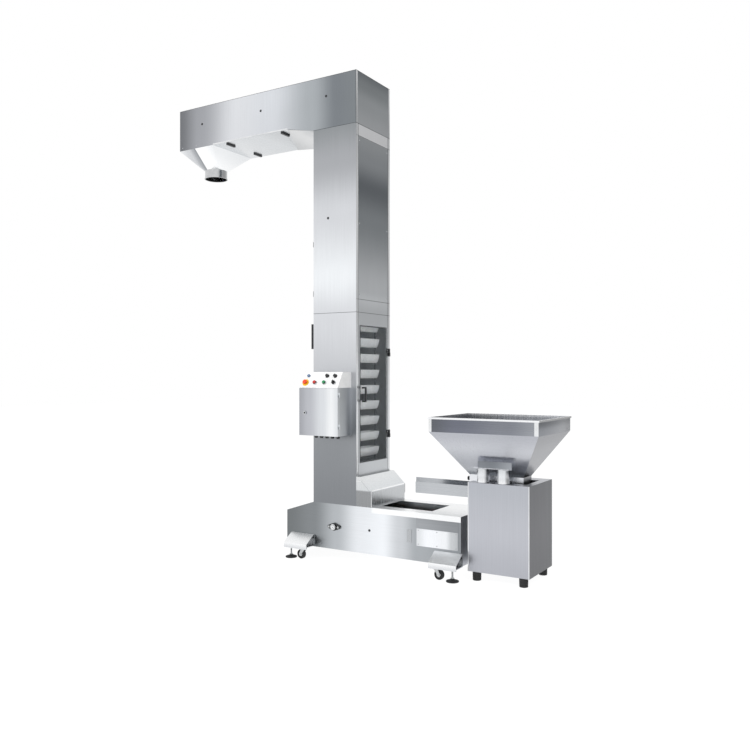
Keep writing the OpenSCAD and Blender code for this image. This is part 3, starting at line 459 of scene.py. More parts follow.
# Which CAD nodes wear each finish.
WORN: dict[Finish, str] = {
    BASE_FRONT: "base_side_front base_side_back", BASE_END: "base_ends",
    BASE_COVER: "base_slope_cover base_floor base_deck", TAIL_COVER: "tail_covers",
    BLACK_CASTING: "shaft_bearings", FOLDED: "outriggers",
    COLUMN_FRONT: "column_front", COLUMN_BACK: "column_back column_left",
    COLUMN_SIDE: "column_right_panels window_frame", CLEAR_PANE: "window_door", HOOD: "inlet_hood",
    ARM_FRONT: "arm_front arm_back", ARM_SIDE: "arm_ends", ARM_FLOOR: "arm_top arm_floor",
    DROP_HOPPER: "discharge_hopper", SPOUT: "discharge_spout", BOX_BODY: "control_box",
    BOX_DOOR: "control_door", CONSOLE_ENAMEL: "console", STOP_RED: "estop_button",
    PUSH_RED: "red_button", PUSH_GREEN: "green_button", CHAIN_STEEL: "chains sprockets",
    BUCKET_WHITE: "feed_buckets buckets", STAND: "feeder_stand feeder_top",
    VIBRATOR_GREY: "vibrator", SPRING_STEEL: "spring_mounts", TROUGH: "feeder_trough",
    FEED_HOPPER: "feed_hopper",
    BLACK_NYLON: "window_hinges window_handle hood_handle cover_latches control_fittings cable_glands "
                 "selector_knob",
    BLACK_RUBBER: "levelling_feet feeder_feet wheel_left_front wheel_left_back wheel_right_front "
                  "wheel_right_back",
    ZINC: "caster_plates fork_left_front fork_left_back fork_right_front fork_right_back",
}


def dress_nodes() -> None:
    """Gives every CAD node its finish."""
    finishes = {name: finish for finish, names in WORN.items() for name in names.split()}
    for name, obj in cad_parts.items():
        material = material_of(finishes[name])
        for slot in obj.material_slots:
            slot.material = material
        if not obj.material_slots:
            obj.data.materials.append(material)


# Modelling


def deselect() -> None:
    """Leaves nothing selected, so that the next operator acts on what it makes."""
    bpy.ops.object.select_all(action="DESELECT")


def take(*objects: Object) -> Object:
    """Selects only these objects and makes the first one active.

    Args:
        objects: What is selected.

    Returns:
        The active object.
    """
    deselect()
    for obj in objects:
        obj.select_set(True)
    bpy.context.view_layer.objects.active = objects[0]
    return objects[0]


def settle(rotation: bool = False, scale: bool = False) -> None:
    """Applies the location of what is selected, and its rotation or scale if asked."""
    bpy.ops.object.transform_apply(location=True, rotation=rotation, scale=scale)


def edit(action: str = "SELECT") -> None:
    """Opens the active mesh with everything or nothing selected."""
    bpy.ops.object.mode_set(mode="EDIT")
    bpy.ops.mesh.select_all(action=action)


def edit_where(obj: Object, items: str, chosen: Callable[..., bool]) -> None:
    """Opens a mesh with only the vertices or faces selected that pass a test.

    Args:
        obj: The mesh object.
        items: The name of its vertices or its polygons.
        chosen: The test.
    """
    take(obj)
    edit("DESELECT")
    bpy.ops.object.mode_set(mode="OBJECT")
    for item in getattr(obj.data, items):
        item.select = chosen(item)
    bpy.ops.object.mode_set(mode="EDIT")


def extrude(shift: Vector | Point) -> None:
    """Extrudes what is selected, by a shift in metres."""
    bpy.ops.mesh.extrude_region_move(TRANSFORM_OT_translate={"value": shift})


def close() -> Object:
    """Turns all faces outward and leaves the mesh.

    Returns:
        The finished object.
    """
    bpy.ops.mesh.select_all(action="SELECT")
    bpy.ops.mesh.normals_make_consistent(inside=False)
    bpy.ops.object.mode_set(mode="OBJECT")
    return bpy.context.object


def circle(sides: int, radius_mm: float, height_mm: float, fill: str = "NGON") -> None:
    """Opens a new level circle over the origin, with all of it selected.

    Args:
        sides: The number of its sides.
        radius_mm: Its radius.
        height_mm: Its height over the origin.
        fill: How it is filled.
    """
    deselect()
    bpy.ops.mesh.primitive_circle_add(vertices=sides, radius=radius_mm * MM, fill_type=fill,
                                      location=(0, 0, height_mm * MM))
    settle()
    edit()


def stood(obj: Object, place: Vector, direction: Vector) -> Object:
    """Carries a piece from the origin to its place.

    Args:
        obj: The piece, with its axis upright over the origin.
        place: Where the origin goes, in the frame.
        direction: The way its axis then points.

    Returns:
        The same object.
    """
    obj.rotation_mode = "QUATERNION"
    obj.rotation_quaternion = direction.to_track_quat("Z", "Y")
    obj.location = place
    settle(rotation=True)
    return obj


def soften(obj: Object, width_mm: float) -> Object:
    """Rounds an object's edges with a bevel.

    Args:
        obj: The object.
        width_mm: The width of each rounded edge.

    Returns:
        The same object.
    """
    take(obj)
    bevel = obj.modifiers.new("edges", "BEVEL")
    bevel.width = width_mm * MM
    bevel.segments = 2
    bevel.limit_method = "ANGLE"
    bpy.ops.object.modifier_apply(modifier=bevel.name)
    return obj


def block(corner: Point, opposite: Point, edge_mm: float = 1.0) -> Object:
    """Makes a box between two opposite corners of the drawing.

    Args:
        corner: Any corner, in mm.
        opposite: The corner farthest from it, in mm.
        edge_mm: The width of its rounded edges, or zero for sharp ones.

    Returns:
        The box.
    """
    a, b = at(*corner), at(*opposite)
    deselect()
    bpy.ops.mesh.primitive_cube_add(size=1, location=(a + b) / 2, scale=[abs(v) for v in b - a])
    settle(scale=True)
    obj = bpy.context.object
    return soften(obj, edge_mm) if edge_mm else obj


def prism(outline: Outline, axis: Axis, start: float, end: float) -> Object:
    """Extrudes an outline along an axis of the drawing.

    Args:
        outline: Corners in mm, in the two other axes, in their order.
        axis: The direction of the extrusion.
        start: Where it starts, in mm.
        end: Where it ends, in mm.

    Returns:
        The solid.
    """
    corners = {Axis.X: lambda u, v: (start, u, v), Axis.Y: lambda u, v: (u, start, v),
               Axis.Z: lambda u, v: (u, v, start)}
    points = [at(*corners[axis](u, v)) for u, v in outline]
    deselect()
    bpy.ops.mesh.primitive_plane_add(size=MM, location=points[0])
    settle()
    edit()
    bpy.ops.mesh.merge(type="CENTER")
    for here, there in zip(points, points[1:]):
        extrude(there - here)
    bpy.ops.mesh.select_all(action="SELECT")
    bpy.ops.mesh.edge_face_add()
    extrude(axis.unit() * (end - start) * MM)
    return close()


def turned(profile: Outline, place: Vector, direction: Vector, sides: int = 24) -> Object:
    """Turns a profile round an axis, as on a lathe.

    Args:
        profile: Radius and height of each step, in mm, from the foot to the top.
        place: The foot's centre, in the frame.
        direction: The way the axis points.
        sides: The number of facets round it.

    Returns:
        The turned solid.
    """
    circle(sides, *profile[0])
    for (r0, h0), (r1, h1) in zip(profile, profile[1:]):
        extrude((0, 0, (h1 - h0) * MM))
        if r1 != r0:
            bpy.ops.transform.resize(value=(r1 / r0, r1 / r0, 1), center_override=(0, 0, h1 * MM))
    return stood(close(), place, direction)


def rod(points: list[Vector], radius_mm: float, bend_mm: float, sides: int = 12) -> Object:
    """Bends a round bar through a row of points.

    Args:
        points: The corners of the bar's middle line, in the frame.
        radius_mm: Its radius.
        bend_mm: The radius of each bend's middle line.
        sides: The number of facets round it.

    Returns:
        The bar.
    """
    first = (points[1] - points[0]).normalized()
    deselect()
    bpy.ops.mesh.primitive_circle_add(vertices=sides, radius=radius_mm * MM, fill_type="NGON",
                                      location=points[0], rotation=first.to_track_quat("Z", "Y").to_euler())
    settle(rotation=True)
    edit()
    here = points[0]
    for before, corner, after in zip(points, points[1:], points[2:]):
        way, turn = (corner - before).normalized(), (after - corner).normalized()
        angle = way.angle(turn)
        back = bend_mm * MM * math.tan(angle / 2)
        start = corner - way * back
        extrude(start - here)
        normal = way.cross(turn).normalized()
        centre = start + normal.cross(way) * bend_mm * MM
        bpy.ops.mesh.spin(steps=6, angle=angle, center=centre, axis=normal)
        here = corner + turn * back
    extrude(points[-1] - here)
    bpy.ops.mesh.select_all(action="SELECT")
    bpy.ops.mesh.remove_doubles(threshold=0.00001)
    return close()


def ring(inner_mm: float, outer_mm: float, low_mm: float, high_mm: float, place: Vector,
         direction: Vector, sides: int = 28, edge_mm: float = 0.8) -> Object:
    """Makes a flat ring with a real hole.

    Args:
        inner_mm: The hole's radius.
        outer_mm: The ring's radius.
        low_mm: Where it starts along its axis.
        high_mm: Where it ends along its axis.
        place: The axis's foot, in the frame.
        direction: The way the axis points.
        sides: The number of facets round it.
        edge_mm: The width of its rounded edges.

    Returns:
        The ring.
    """
    circle(sides, inner_mm, low_mm, "NOTHING")
    extrude((0, 0, 0))
    grow = outer_mm / inner_mm
    bpy.ops.transform.resize(value=(grow, grow, 1), center_override=(0, 0, low_mm * MM))
    bpy.ops.mesh.select_all(action="SELECT")
    extrude((0, 0, (high_mm - low_mm) * MM))
    return soften(stood(close(), place, direction), edge_mm)


def copies(obj: Object, shifts: list[Matrix]) -> list[Object]:
    """Copies a piece, each copy with its own mesh.

    Args:
        obj: The model piece, which is used up.
        shifts: Where each copy goes, from where the model is.

    Returns:
        All the copies.
    """
    made = []
    for shift in shifts:
        twin = obj.copy()
        twin.data = obj.data.copy()
        twin.data.transform(shift)
        bpy.context.scene.collection.objects.link(twin)
        made.append(twin)
    bpy.data.objects.remove(obj)
    return made


def moved(x: float, z: float) -> Matrix:
    """Gives a shift in mm in the plane of the bucket loop."""
    return Matrix.Translation((x * MM, 0, z * MM))


def joined(parts: list[Object]) -> Object:
    """Makes one piece of several.

    Args:
        parts: The pieces, which are used up.

    Returns:
        The whole.
    """
    take(*parts)
    if len(parts) > 1:
        bpy.ops.object.join()
    return bpy.context.object


def placed(model: Object, places: list[Vector]) -> Object:
    """Makes one piece of a model's copies, and uses the model up."""
    return joined(copies(model, [Matrix.Translation(place) for place in places]))


def finished(obj: Object, name: str, finish: Finish, body: str = ROOT) -> Object:
    """Names a piece, gives it its finish and lets it ride on its body.

    Args:
        obj: The piece.
        name: Its name.
        finish: Its finish.
        body: The CAD body that carries it.

    Returns:
        The piece.
    """
    take(obj)
    obj.name = name
    obj.data.name = name
    obj.data.materials.clear()
    obj.data.materials.append(material_of(finish))
    settle(rotation=True, scale=True)
    bpy.ops.object.shade_smooth_by_angle(angle=math.radians(SMOOTH_DEG))
    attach(obj, body)
    log.info("%s: %d faces on %s", name, len(obj.data.polygons), body)
    return obj


def screw_heads(places: list[Vector], direction: Vector, radius_mm: float = 6.0) -> Object:
    """Makes button-head screws that sit on a surface.

    Args:
        places: Where each one sits, in the frame.
        direction: The way their heads face.
        radius_mm: The radius of a head.

    Returns:
        All the screws as one object.
    """
    r = radius_mm
    profile = [(r, -0.4), (r, 0.4), (r * 0.86, r * 0.32), (r * 0.55, r * 0.48), (r * 0.42, r * 0.5),
               (r * 0.4, r * 0.2)]
    return placed(turned(profile, ORIGIN, direction, 12), places)


# Sub-assemblies


@dataclass
class HousingTrim:
    """The plugs, joints, folds and screws of the arm and the column, and the elbow between them."""

    half_width: float = 220.0
    half_depth: float = 275.0
    column_fold: float = 33.0
    arm_fold: float = 20.0
    arm_left: float = -1826.0
    arm_low: float = 3755.0
    arm_high: float = 4141.0
    drop_right: float = -1396.0
    column_low: float = 485.0
    hood_top: float = 733.0
    elbow_low: float = 3698.0
    elbow_front_x: float = -505.0
    elbow_back_x: float = -810.0
    cover_seams: tuple[float, ...] = (2112.0, 2222.0, 3597.0, 3697.0)
    plug_radius: float = 11.0
    plug_spots: tuple[Span, ...] = ((-1534, 3974), (-812, 3974), (-88, 3974), (-67, 2925), (350, 296))
    screw_y: float = 226.0
    screw_heights: tuple[float, ...] = (3560.0, 2860.0, 2260.0)
    drop_screw_xs: tuple[float, ...] = (-1790.0, -1611.0, -1432.0)
    joint_width: float = 3.2
    proud: float = 0.8

    def build(self) -> None:
        """Builds every piece of the trim."""
        self.plugs()
        self.folds()
        self.elbow()
        self.joints()
        self.arm_flanges()
        self.cover_screws()

    def plugs(self) -> None:
        """Black plugs that close the holes in the front and back panels."""
        r = self.plug_radius
        profile = [(r, -0.5), (r, 1.2), (r * 0.86, 2.4), (r * 0.5, 2.9), (r * 0.2, 3.0)]
        parts = [turned(profile, at(x, s * self.half_depth, z), way)
                 for x, z in self.plug_spots for s, way in SIDES]
        finished(joined(parts), "hole_plugs", BLACK_NYLON)

    def folds(self) -> None:
        """Folded edges of the side panels down the corners of the column and the arm, lighter to paint the
        highlight of a rounded corner.
        """
        x, y, out = self.half_width, self.half_depth, self.half_width + self.proud
        strips = [(1, self.arm_fold, self.elbow_low + 2, self.arm_high - 1),
                  (1, self.column_fold, self.hood_top + 4, self.elbow_low - 2),
                  (-1, self.column_fold, self.column_low + 2, self.elbow_low - 2)]
        parts = [block((side * x, s * (y - fold), low), (side * out, s * (y - 0.5), high), 0.4)
                 for s in (-1, 1) for side, fold, low, high in strips]
        finished(joined(parts), "corner_folds", CORNER_HIGHLIGHT)

    def elbow(self) -> None:
        """The side panels' deeper part over the column, and the sloping sheet in the elbow."""
        x, y, low, base = self.half_width, self.half_depth, self.arm_low, self.elbow_low
        parts = []
        for s, start in ((-1, self.elbow_front_x), (1, self.elbow_back_x)):
            outline = [(start, low), (-x, base), (x, base), (x, low + 1), (start, low + 1)]
            parts.append(prism(outline, Axis.Y, *sorted((s * y, s * (y + 0.9)))))
        finished(joined(parts), "elbow_sides", ARM_FRONT)
        inner = y - 0.5
        plan = [(self.elbow_front_x, -inner), (-x - 1, -inner), (-x - 1, inner), (self.elbow_back_x, inner)]
        sheet = prism(plan, Axis.Z, low - 4.5, low - 2.5)
        edge = along(Axis.X, -x - 20)
        edit_where(sheet, "vertices", lambda vertex: vertex.co.x > edge)
        bpy.ops.transform.translate(value=(0, 0, (base - low + 3) * MM))
        bpy.ops.object.mode_set(mode="OBJECT")
        finished(sheet, "elbow_sheet", ELBOW)

    def joints(self) -> None:
        """Dark strips that paint the shadow in the joints round the column, between its covers and beside its
        folds.
        """
        half, deep = self.joint_width / 2, self.proud + 0.3
        x, y, top, low = self.half_width, self.half_depth, self.arm_high, self.elbow_low
        parts = []
        for s in (-1, 1):
            y0, y1, fold = s * (y - 0.3), s * (y + deep), s * (y - self.column_fold)
            parts += [block((-x, y0, z - half), (x, y1, z + half), 0) for z in (self.cover_seams[0], low)]
            parts += [block((x - 4, y0, low), (x - 1.5, y1, top - 1), 0),
                      block((self.arm_left + 1, y0, top - 2.6), (x, y1, top - 0.4), 0),
                      block((x - 0.3, fold - 1, self.hood_top + 4), (x + deep, fold + 1, low), 0)]
        levels = [(z - half, z + half) for z in self.cover_seams] + [(top - 2.6, top - 0.4)]
        parts += [block((x - 0.3, 1 - y, z0), (x + deep, y - 1, z1), 0) for z0, z1 in levels]
        finished(joined(parts), "housing_joints", JOINT_SHADOW)

    def arm_flanges(self) -> None:
        """The bright folded edge along the bottom of the arm's sides."""
        y, low = self.half_depth, self.arm_low
        parts = [block((self.drop_right, s * y, low + 0.5), (end, s * (y + 1.2), low + 12), 0.5)
                 for s, end in ((-1, self.elbow_front_x), (1, self.elbow_back_x))]
        finished(joined(parts), "arm_lower_flange", POLISHED)

    def cover_screws(self) -> None:
        """Button-head screws at the corners of the covers and above the discharge."""
        places = [at(self.half_width, s * self.screw_y, z) for s in (-1, 1) for z in self.screw_heights]
        parts = [screw_heads(places, RIGHT)]
        y, z = self.half_depth, self.arm_low + 26
        parts += [screw_heads([at(x, s * y, z) for x in self.drop_screw_xs], way) for s, way in SIDES]
        finished(joined(parts), "housing_screws", SCREW_STEEL)


@dataclass
class WindowFittings:
    """The seal round the inspection window and the fastenings of its clear door."""

    face_x: float = 220.0
    half_width: float = 210.0
    low: float = 850.0
    high: float = 1994.0
    door_face_x: float = 229.5
    hinge_heights: tuple[float, ...] = (1062.0, 1782.0)
    handle_y: float = -194.0
    handle_z: float = 1418.0
    handle_length: float = 128.0

    def build(self) -> None:
        """Builds the seal and the door's screws."""
        self.seal()
        self.door_fastenings()

    def seal(self) -> None:
        """A grey rubber strip on the frame, which the closed door rests against."""
        inner, outer = self.half_width, self.half_width + 9
        x0, x1 = self.face_x, self.face_x + 1.2
        parts = [block((x0, s * inner, self.low - 9), (x1, s * outer, self.high + 9), 0.3) for s in (-1, 1)]
        parts += [block((x0, -inner, z), (x1, inner, z + 9), 0.3) for z in (self.low - 9, self.high)]
        finished(joined(parts), "window_seal", BLACK_RUBBER)

    def door_fastenings(self) -> None:
        """Screws through the hinge leaves and the handle's feet."""
        places = [at(self.door_face_x + 6, 206, z + 18) for z in self.hinge_heights]
        ends = self.handle_length / 2 - 7
        places += [at(self.door_face_x + 39.5, self.handle_y, self.handle_z + s * ends) for s in (-1, 1)]
        screws = screw_heads(places, RIGHT, 4.0)
        finished(screws, "window_door_screws", SCREW_STEEL, "window_leaf")


@dataclass
class BucketRun:
    """The buckets and the two roller chains, on the loop that the drawing gives."""

    turn_radius: float = 115.0
    bend_radius: float = 100.0
    low_z: float = 292.0
    high_z: float = 3948.0
    tail_x: float = 978.0
    head_x: float = 1590.0
    chain_y: float = 194.0
    bucket_count: int = 96
    link_count: int = 342
    feed_low_x: float = 344.0
    feed_high_x: float = 930.0

    def stretches(self) -> list[float]:
        """Measures the loop's straight and curved parts, from the tail's top.

        Returns:
            The length of each part, in mm.
        """
        both = self.turn_radius + self.bend_radius
        rise = self.high_z - self.low_z - both
        turn, bend = math.pi * self.turn_radius / 2, math.pi * self.bend_radius / 2
        return [self.tail_x - both, bend, rise, turn, self.head_x, 2 * turn,
                self.head_x - both, bend, rise, turn, self.tail_x, 2 * turn]

    def point(self, distance: float) -> tuple[float, float, float]:
        """Follows the loop.

        Args:
            distance: How far along the loop, in mm.

        Returns:
            The point's x and z in the drawing, in mm, and the way the chain runs there, in degrees.
        """
        both = self.turn_radius + self.bend_radius
        t, r, b = distance, self.turn_radius, self.bend_radius
        for index, length in enumerate(self.stretches()):
            if t <= length or index == 11:
                break
            t -= length

        def arc(cx: float, cz: float, radius: float, angle: float, turn: int) -> tuple[float, float, float]:
            """Gives a point on an arc and its direction."""
            a = math.radians(angle)
            return cx + radius * math.cos(a), cz + radius * math.sin(a), angle + 90 * turn

        bend_step, turn_step = math.degrees(t / b), math.degrees(t / r)
        if index in (1, 7):
            centre = (both, self.low_z + both) if index == 1 else (-both, self.high_z - both)
            return arc(*centre, b, (270 if index == 1 else 90) - bend_step, -1)
        corners = {3: (0, self.high_z, 0), 5: (-self.head_x, self.high_z, 90),
                   9: (0, self.low_z, 180), 11: (self.tail_x, self.low_z, 270)}
        if index in corners:
            cx, cz, start = corners[index]
            return arc(cx, cz, r, start + turn_step, 1)
        straight = {
            0: (self.tail_x - t, self.low_z + r, 180), 2: (r, self.low_z + both + t, 90),
            4: (-t, self.high_z + r, 180), 6: (-self.head_x + t, self.high_z - r, 0),
            8: (-r, self.high_z - both - t, 270), 10: (t, self.low_z - r, 0),
        }
        return straight[index]

    def build(self) -> None:
        """Builds the buckets and the chains."""
        self.buckets()
        self.chains()

    def bucket(self) -> Object:
        """Moulds one bucket at the drawing's origin: tapered body, rim and two pivots.

        Returns:
            The bucket.
        """
        outline = [(-54, 12), (-54, -4), (-47, -30), (-36, -54), (-26, -62), (26, -62), (36, -54),
                   (47, -30), (54, -4), (54, 12)]
        body = prism(outline, Axis.Y, -176, 176)
        edit_where(body, "polygons", lambda face: face.normal.z > 0.9)
        bpy.ops.mesh.inset(thickness=3 * MM)
        for drop, middle, narrow, shorten in ((36, -24, 0.84, 0.995), (34, -58, 0.55, 0.99)):
            extrude((0, 0, -drop * MM))
            bpy.ops.transform.resize(value=(narrow, shorten, 1), center_override=at(0, 0, middle))
        bpy.ops.object.mode_set(mode="OBJECT")
        parts = [body]
        for s in (-1, 1):
            parts += [block((s * 52, -178, 7), (s * 56, 178, 12.4), 0),
                      block((-56, s * 174, 7), (56, s * 178, 12.4), 0),
                      turned([(7, 0), (7, 13)], at(0, s * 176, 0), Vector((0, s, 0)), 8)]
        return joined(parts)

    def buckets(self) -> None:
        """Hangs all the buckets, always upright, and splits off those under the feed opening."""
        total = sum(self.stretches())
        rows: dict[bool, list[Matrix]] = {True: [], False: []}
        for i in range(self.bucket_count):
            x, z, _ = self.point(i * total / self.bucket_count)
            fed = abs(z - self.low_z - self.turn_radius) < 1 and self.feed_low_x < x < self.feed_high_x
            rows[fed].append(moved(x, z))
        for fed, shifts in rows.items():
            piece = joined(copies(self.bucket(), shifts))
            node = "feed_buckets" if fed else "buckets"
            finished(piece, f"moulded_{node}", BUCKET_WHITE)
            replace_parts(piece, node)

    def chains(self) -> None:
        """Lays both roller chains: a pair of plates and one roller for each link."""
        total = sum(self.stretches())
        pitch = total / self.link_count
        half = pitch / 2
        oblong = [(-half - 5, -4), (-half, -7), (half, -7), (half + 5, -4), (half + 5, 4),
                  (half, 7), (-half, 7), (-half - 5, 4)]
        inner, outer = [], []
        for i in range(self.link_count):
            x, z, angle = self.point((i + 0.5) * pitch)
            spot = moved(x, z) @ Matrix.Rotation(-math.radians(angle), 4, "Y")
            (inner if i % 2 else outer).append(spot)
        to_origin = Matrix.Translation(at(0, 0, 0))
        parts: list[Object] = []
        for spots, gap in ((inner, 3.0), (outer, 4.6)):
            plates = [prism(oblong, Axis.Y, c + s * gap - 0.7, c + s * gap + 0.7)
                      for c in (-self.chain_y, self.chain_y) for s in (-1, 1)]
            plates += [turned([(5.5, -gap), (5.5, gap)], at(-half, c, 0), BACK, 8)
                       for c in (-self.chain_y, self.chain_y)]
            link = joined(plates)
            link.data.transform(to_origin.inverted())
            parts += copies(link, [to_origin @ spot for spot in spots])
        piece = finished(joined(parts), "roller_chains", CHAIN_STEEL)
        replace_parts(piece, "chains")


@dataclass
class ControlPanel:
    """The console's buttons, rings and lamp, the door's lock and the cable glands."""

    box_left: float = -220.0
    box_right: float = 170.0
    box_front: float = -479.0
    box_low: float = 1077.0
    box_top: float = 1477.0
    console_run: float = 77.0
    console_rise: float = 131.0
    button_xs: tuple[float, ...] = (-169.0, -73.0, 23.0, 119.0)
    lower_row: float = 0.31
    upper_row: float = 0.74

    def out(self) -> Vector:
        """Gives the way that the console's slope faces."""
        tilt = math.atan2(self.console_rise, self.console_run)
        return Vector((0, -math.sin(tilt), math.cos(tilt)))

    def on_slope(self, x: float, row: float) -> Vector:
        """Gives a point on the slope, in the frame."""
        return at(x, self.box_front + self.console_run * row, self.box_top + self.console_rise * row)

    def build(self) -> None:
        """Builds every piece of the panel."""
        self.stop_button()
        self.push_buttons()
        self.upper_row_controls()
        self.lock()
        self.glands()

    def control(self, profile: Outline, x: float, row: float, sides: int = 24) -> Object:
        """Turns a control that stands on the slope."""
        return turned(profile, self.on_slope(x, row), self.out(), sides)

    def stop_button(self) -> None:
        """The emergency stop: a domed head on a waisted neck, over a yellow ring."""
        x, row = self.button_xs[0], self.lower_row
        head = self.control([(9.5, -8), (9.5, 11), (15, 12), (19.2, 15), (20, 18), (20, 22), (18.6, 26),
                             (14.5, 28.6), (8, 29.8), (2, 30)], x, row, 32)
        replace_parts(finished(head, "stop_head", STOP_RED, "estop"), "estop_button")
        plate = ring(10.8, 30.6, -0.4, 6.0, self.on_slope(x, row), self.out(), 36, 1.2)
        finished(plate, "stop_ring", RING_YELLOW)

    def push_buttons(self) -> None:
        """The red and green push buttons and the selector, each in a bright ring."""
        rings = [ring(14.6, 18.0, -0.4, 9.6, self.on_slope(x, self.lower_row), self.out(), 28, 1.0)
                 for x in self.button_xs[1:]]
        finished(joined(rings), "button_rings", SCREW_STEEL)
        profile = [(9.5, -8), (9.5, 14), (13.6, 14.6), (14, 16), (14, 20.5), (13, 22), (6, 22.5)]
        for x, colour, finish in zip(self.button_xs[1:], ("red", "green"), (PUSH_RED, PUSH_GREEN)):
            head = self.control(profile, x, self.lower_row)
            piece = finished(head, f"{colour}_push_head", finish, f"{colour}_push")
            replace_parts(piece, f"{colour}_button")

    def upper_row_controls(self) -> None:
        """The signal lamp and two turning knobs."""
        lamp = self.control([(13.4, -0.4), (13.4, 10), (12, 13), (7, 15), (2, 15.4)],
                            self.button_xs[0] + 10, self.upper_row)
        finished(lamp, "signal_lamp", LAMP_BLUE)
        profile = [(17.4, -0.4), (17.4, 3), (13.6, 5), (12.6, 18), (11.5, 20.4), (5, 20.8)]
        knobs = [self.control(profile, x, self.upper_row, 20)
                 for x in (self.button_xs[2] + 8, self.button_xs[3] - 8)]
        finished(joined(knobs), "console_knobs", BLACK_NYLON)

    def lock(self) -> None:
        """The door's key lock: a bright collar round a black cylinder."""
        spot = at(self.box_left + 60, self.box_front - 6, self.box_top - 210)
        collar = ring(8.0, 14.6, -0.5, 2.0, spot, FRONT, 28, 0.8)
        finished(collar, "lock_collar", SCREW_STEEL, "control_leaf")
        barrel = turned([(7.9, -0.2), (7.9, 1.4), (6.5, 1.9)], spot, FRONT, 20)
        finished(barrel, "lock_barrel", BLACK_NYLON, "control_leaf")

    def glands(self) -> None:
        """Domed nuts on the cable glands under the box."""
        middle = (self.box_left + self.box_right) / 2 + 19
        model = turned([(17.4, 0.2), (17.4, -8), (15.2, -8.6), (15.2, -19), (12.5, -24), (8, -26), (6, -26.5),
                        (5.5, -24)], ORIGIN, UP, 12)
        spots = [at(middle + i * 56, self.box_front + 102, self.box_low) for i in range(-2, 3)]
        finished(placed(model, spots), "gland_nuts", BLACK_NYLON)


@dataclass
class BaseFittings:
    """Bearing bolts, cover screws and the trim of the base, deck and hood."""

    half_depth: float = 275.0
    shaft_z: float = 292.0
    bolt_x: float = 46.0
    cover_xs: Span = (796.0, 1160.0)
    cover_zs: Span = (223.0, 361.0)
    tail_plate_x: float = 728.0
    hood_x: float = 373.0
    deck_z: float = 485.0

    def build(self) -> None:
        """Builds every fitting of the base."""
        self.bearings()
        self.cover_screws()
        self.lip_shadow_plate()
        self.hood_trim()

    def bearings(self) -> None:
        """Bolts in the bearings' ears and a bright shaft end in each hub."""
        bolts, ends = [], []
        bolt = [(11, 0), (11, 1.5), (9, 1.5), (9, 7), (8, 8)]
        shaft = [(17.3, 0), (17.3, 5.4), (15.6, 7), (4, 7), (3.4, 5)]
        for s, way in SIDES:
            bolts += [turned(bolt, at(x, s * 289, self.shaft_z), way, 6) for x in (-self.bolt_x, self.bolt_x)]
            ends += [turned(shaft, at(0, s * 298.5, self.shaft_z), way),
                     ring(18, 25, 0, 1.6, at(0, s * 301, self.shaft_z), way)]
        finished(joined(bolts), "bearing_bolts", ZINC)
        finished(joined(ends), "shaft_ends", POLISHED)

    def cover_screws(self) -> None:
        """Screws round the edge of each tail cover."""
        (x0, x1), (z0, z1) = self.cover_xs, self.cover_zs
        spots = [(x, z) for x in (x0 + 16, (x0 + x1) / 2, x1 - 16) for z in (z0 + 14, z1 - 14)]
        spots += [(self.tail_plate_x, 252), (self.tail_plate_x, 332)]
        parts = [screw_heads([at(x, s * (self.half_depth + 3), z) for x, z in spots], way, 5.0)
                 for s, way in SIDES]
        finished(joined(parts), "tail_cover_screws", SCREW_STEEL)

    def lip_shadow_plate(self) -> None:
        """A darker plate over each tail cover, a painted shadow of the deck's lip."""
        y = self.half_depth
        parts = [block((790, s * y, 364), (1164, s * (y + 1.4), 441), 0.6) for s in (-1, 1)]
        finished(joined(parts), "lip_shadow_plates", LIP_SHADOW)

    def hood_trim(self) -> None:
        """A rolled bead on each side of the hood, and the screws that hold it down."""
        line = ((self.hood_x - 2, self.deck_z + 4), (self.hood_x - 2, 626), (264, 731), (222, 731))
        beads = [rod([at(x, s * self.half_depth, z) for x, z in line], 3.2, 18, 8) for s in (-1, 1)]
        finished(joined(beads), "hood_beads", POLISHED)
        spots = [at(self.hood_x, y, self.deck_z + 16) for y in (-240, -80, 80, 240)]
        finished(screw_heads(spots, RIGHT, 5.0), "hood_screws", SCREW_STEEL)


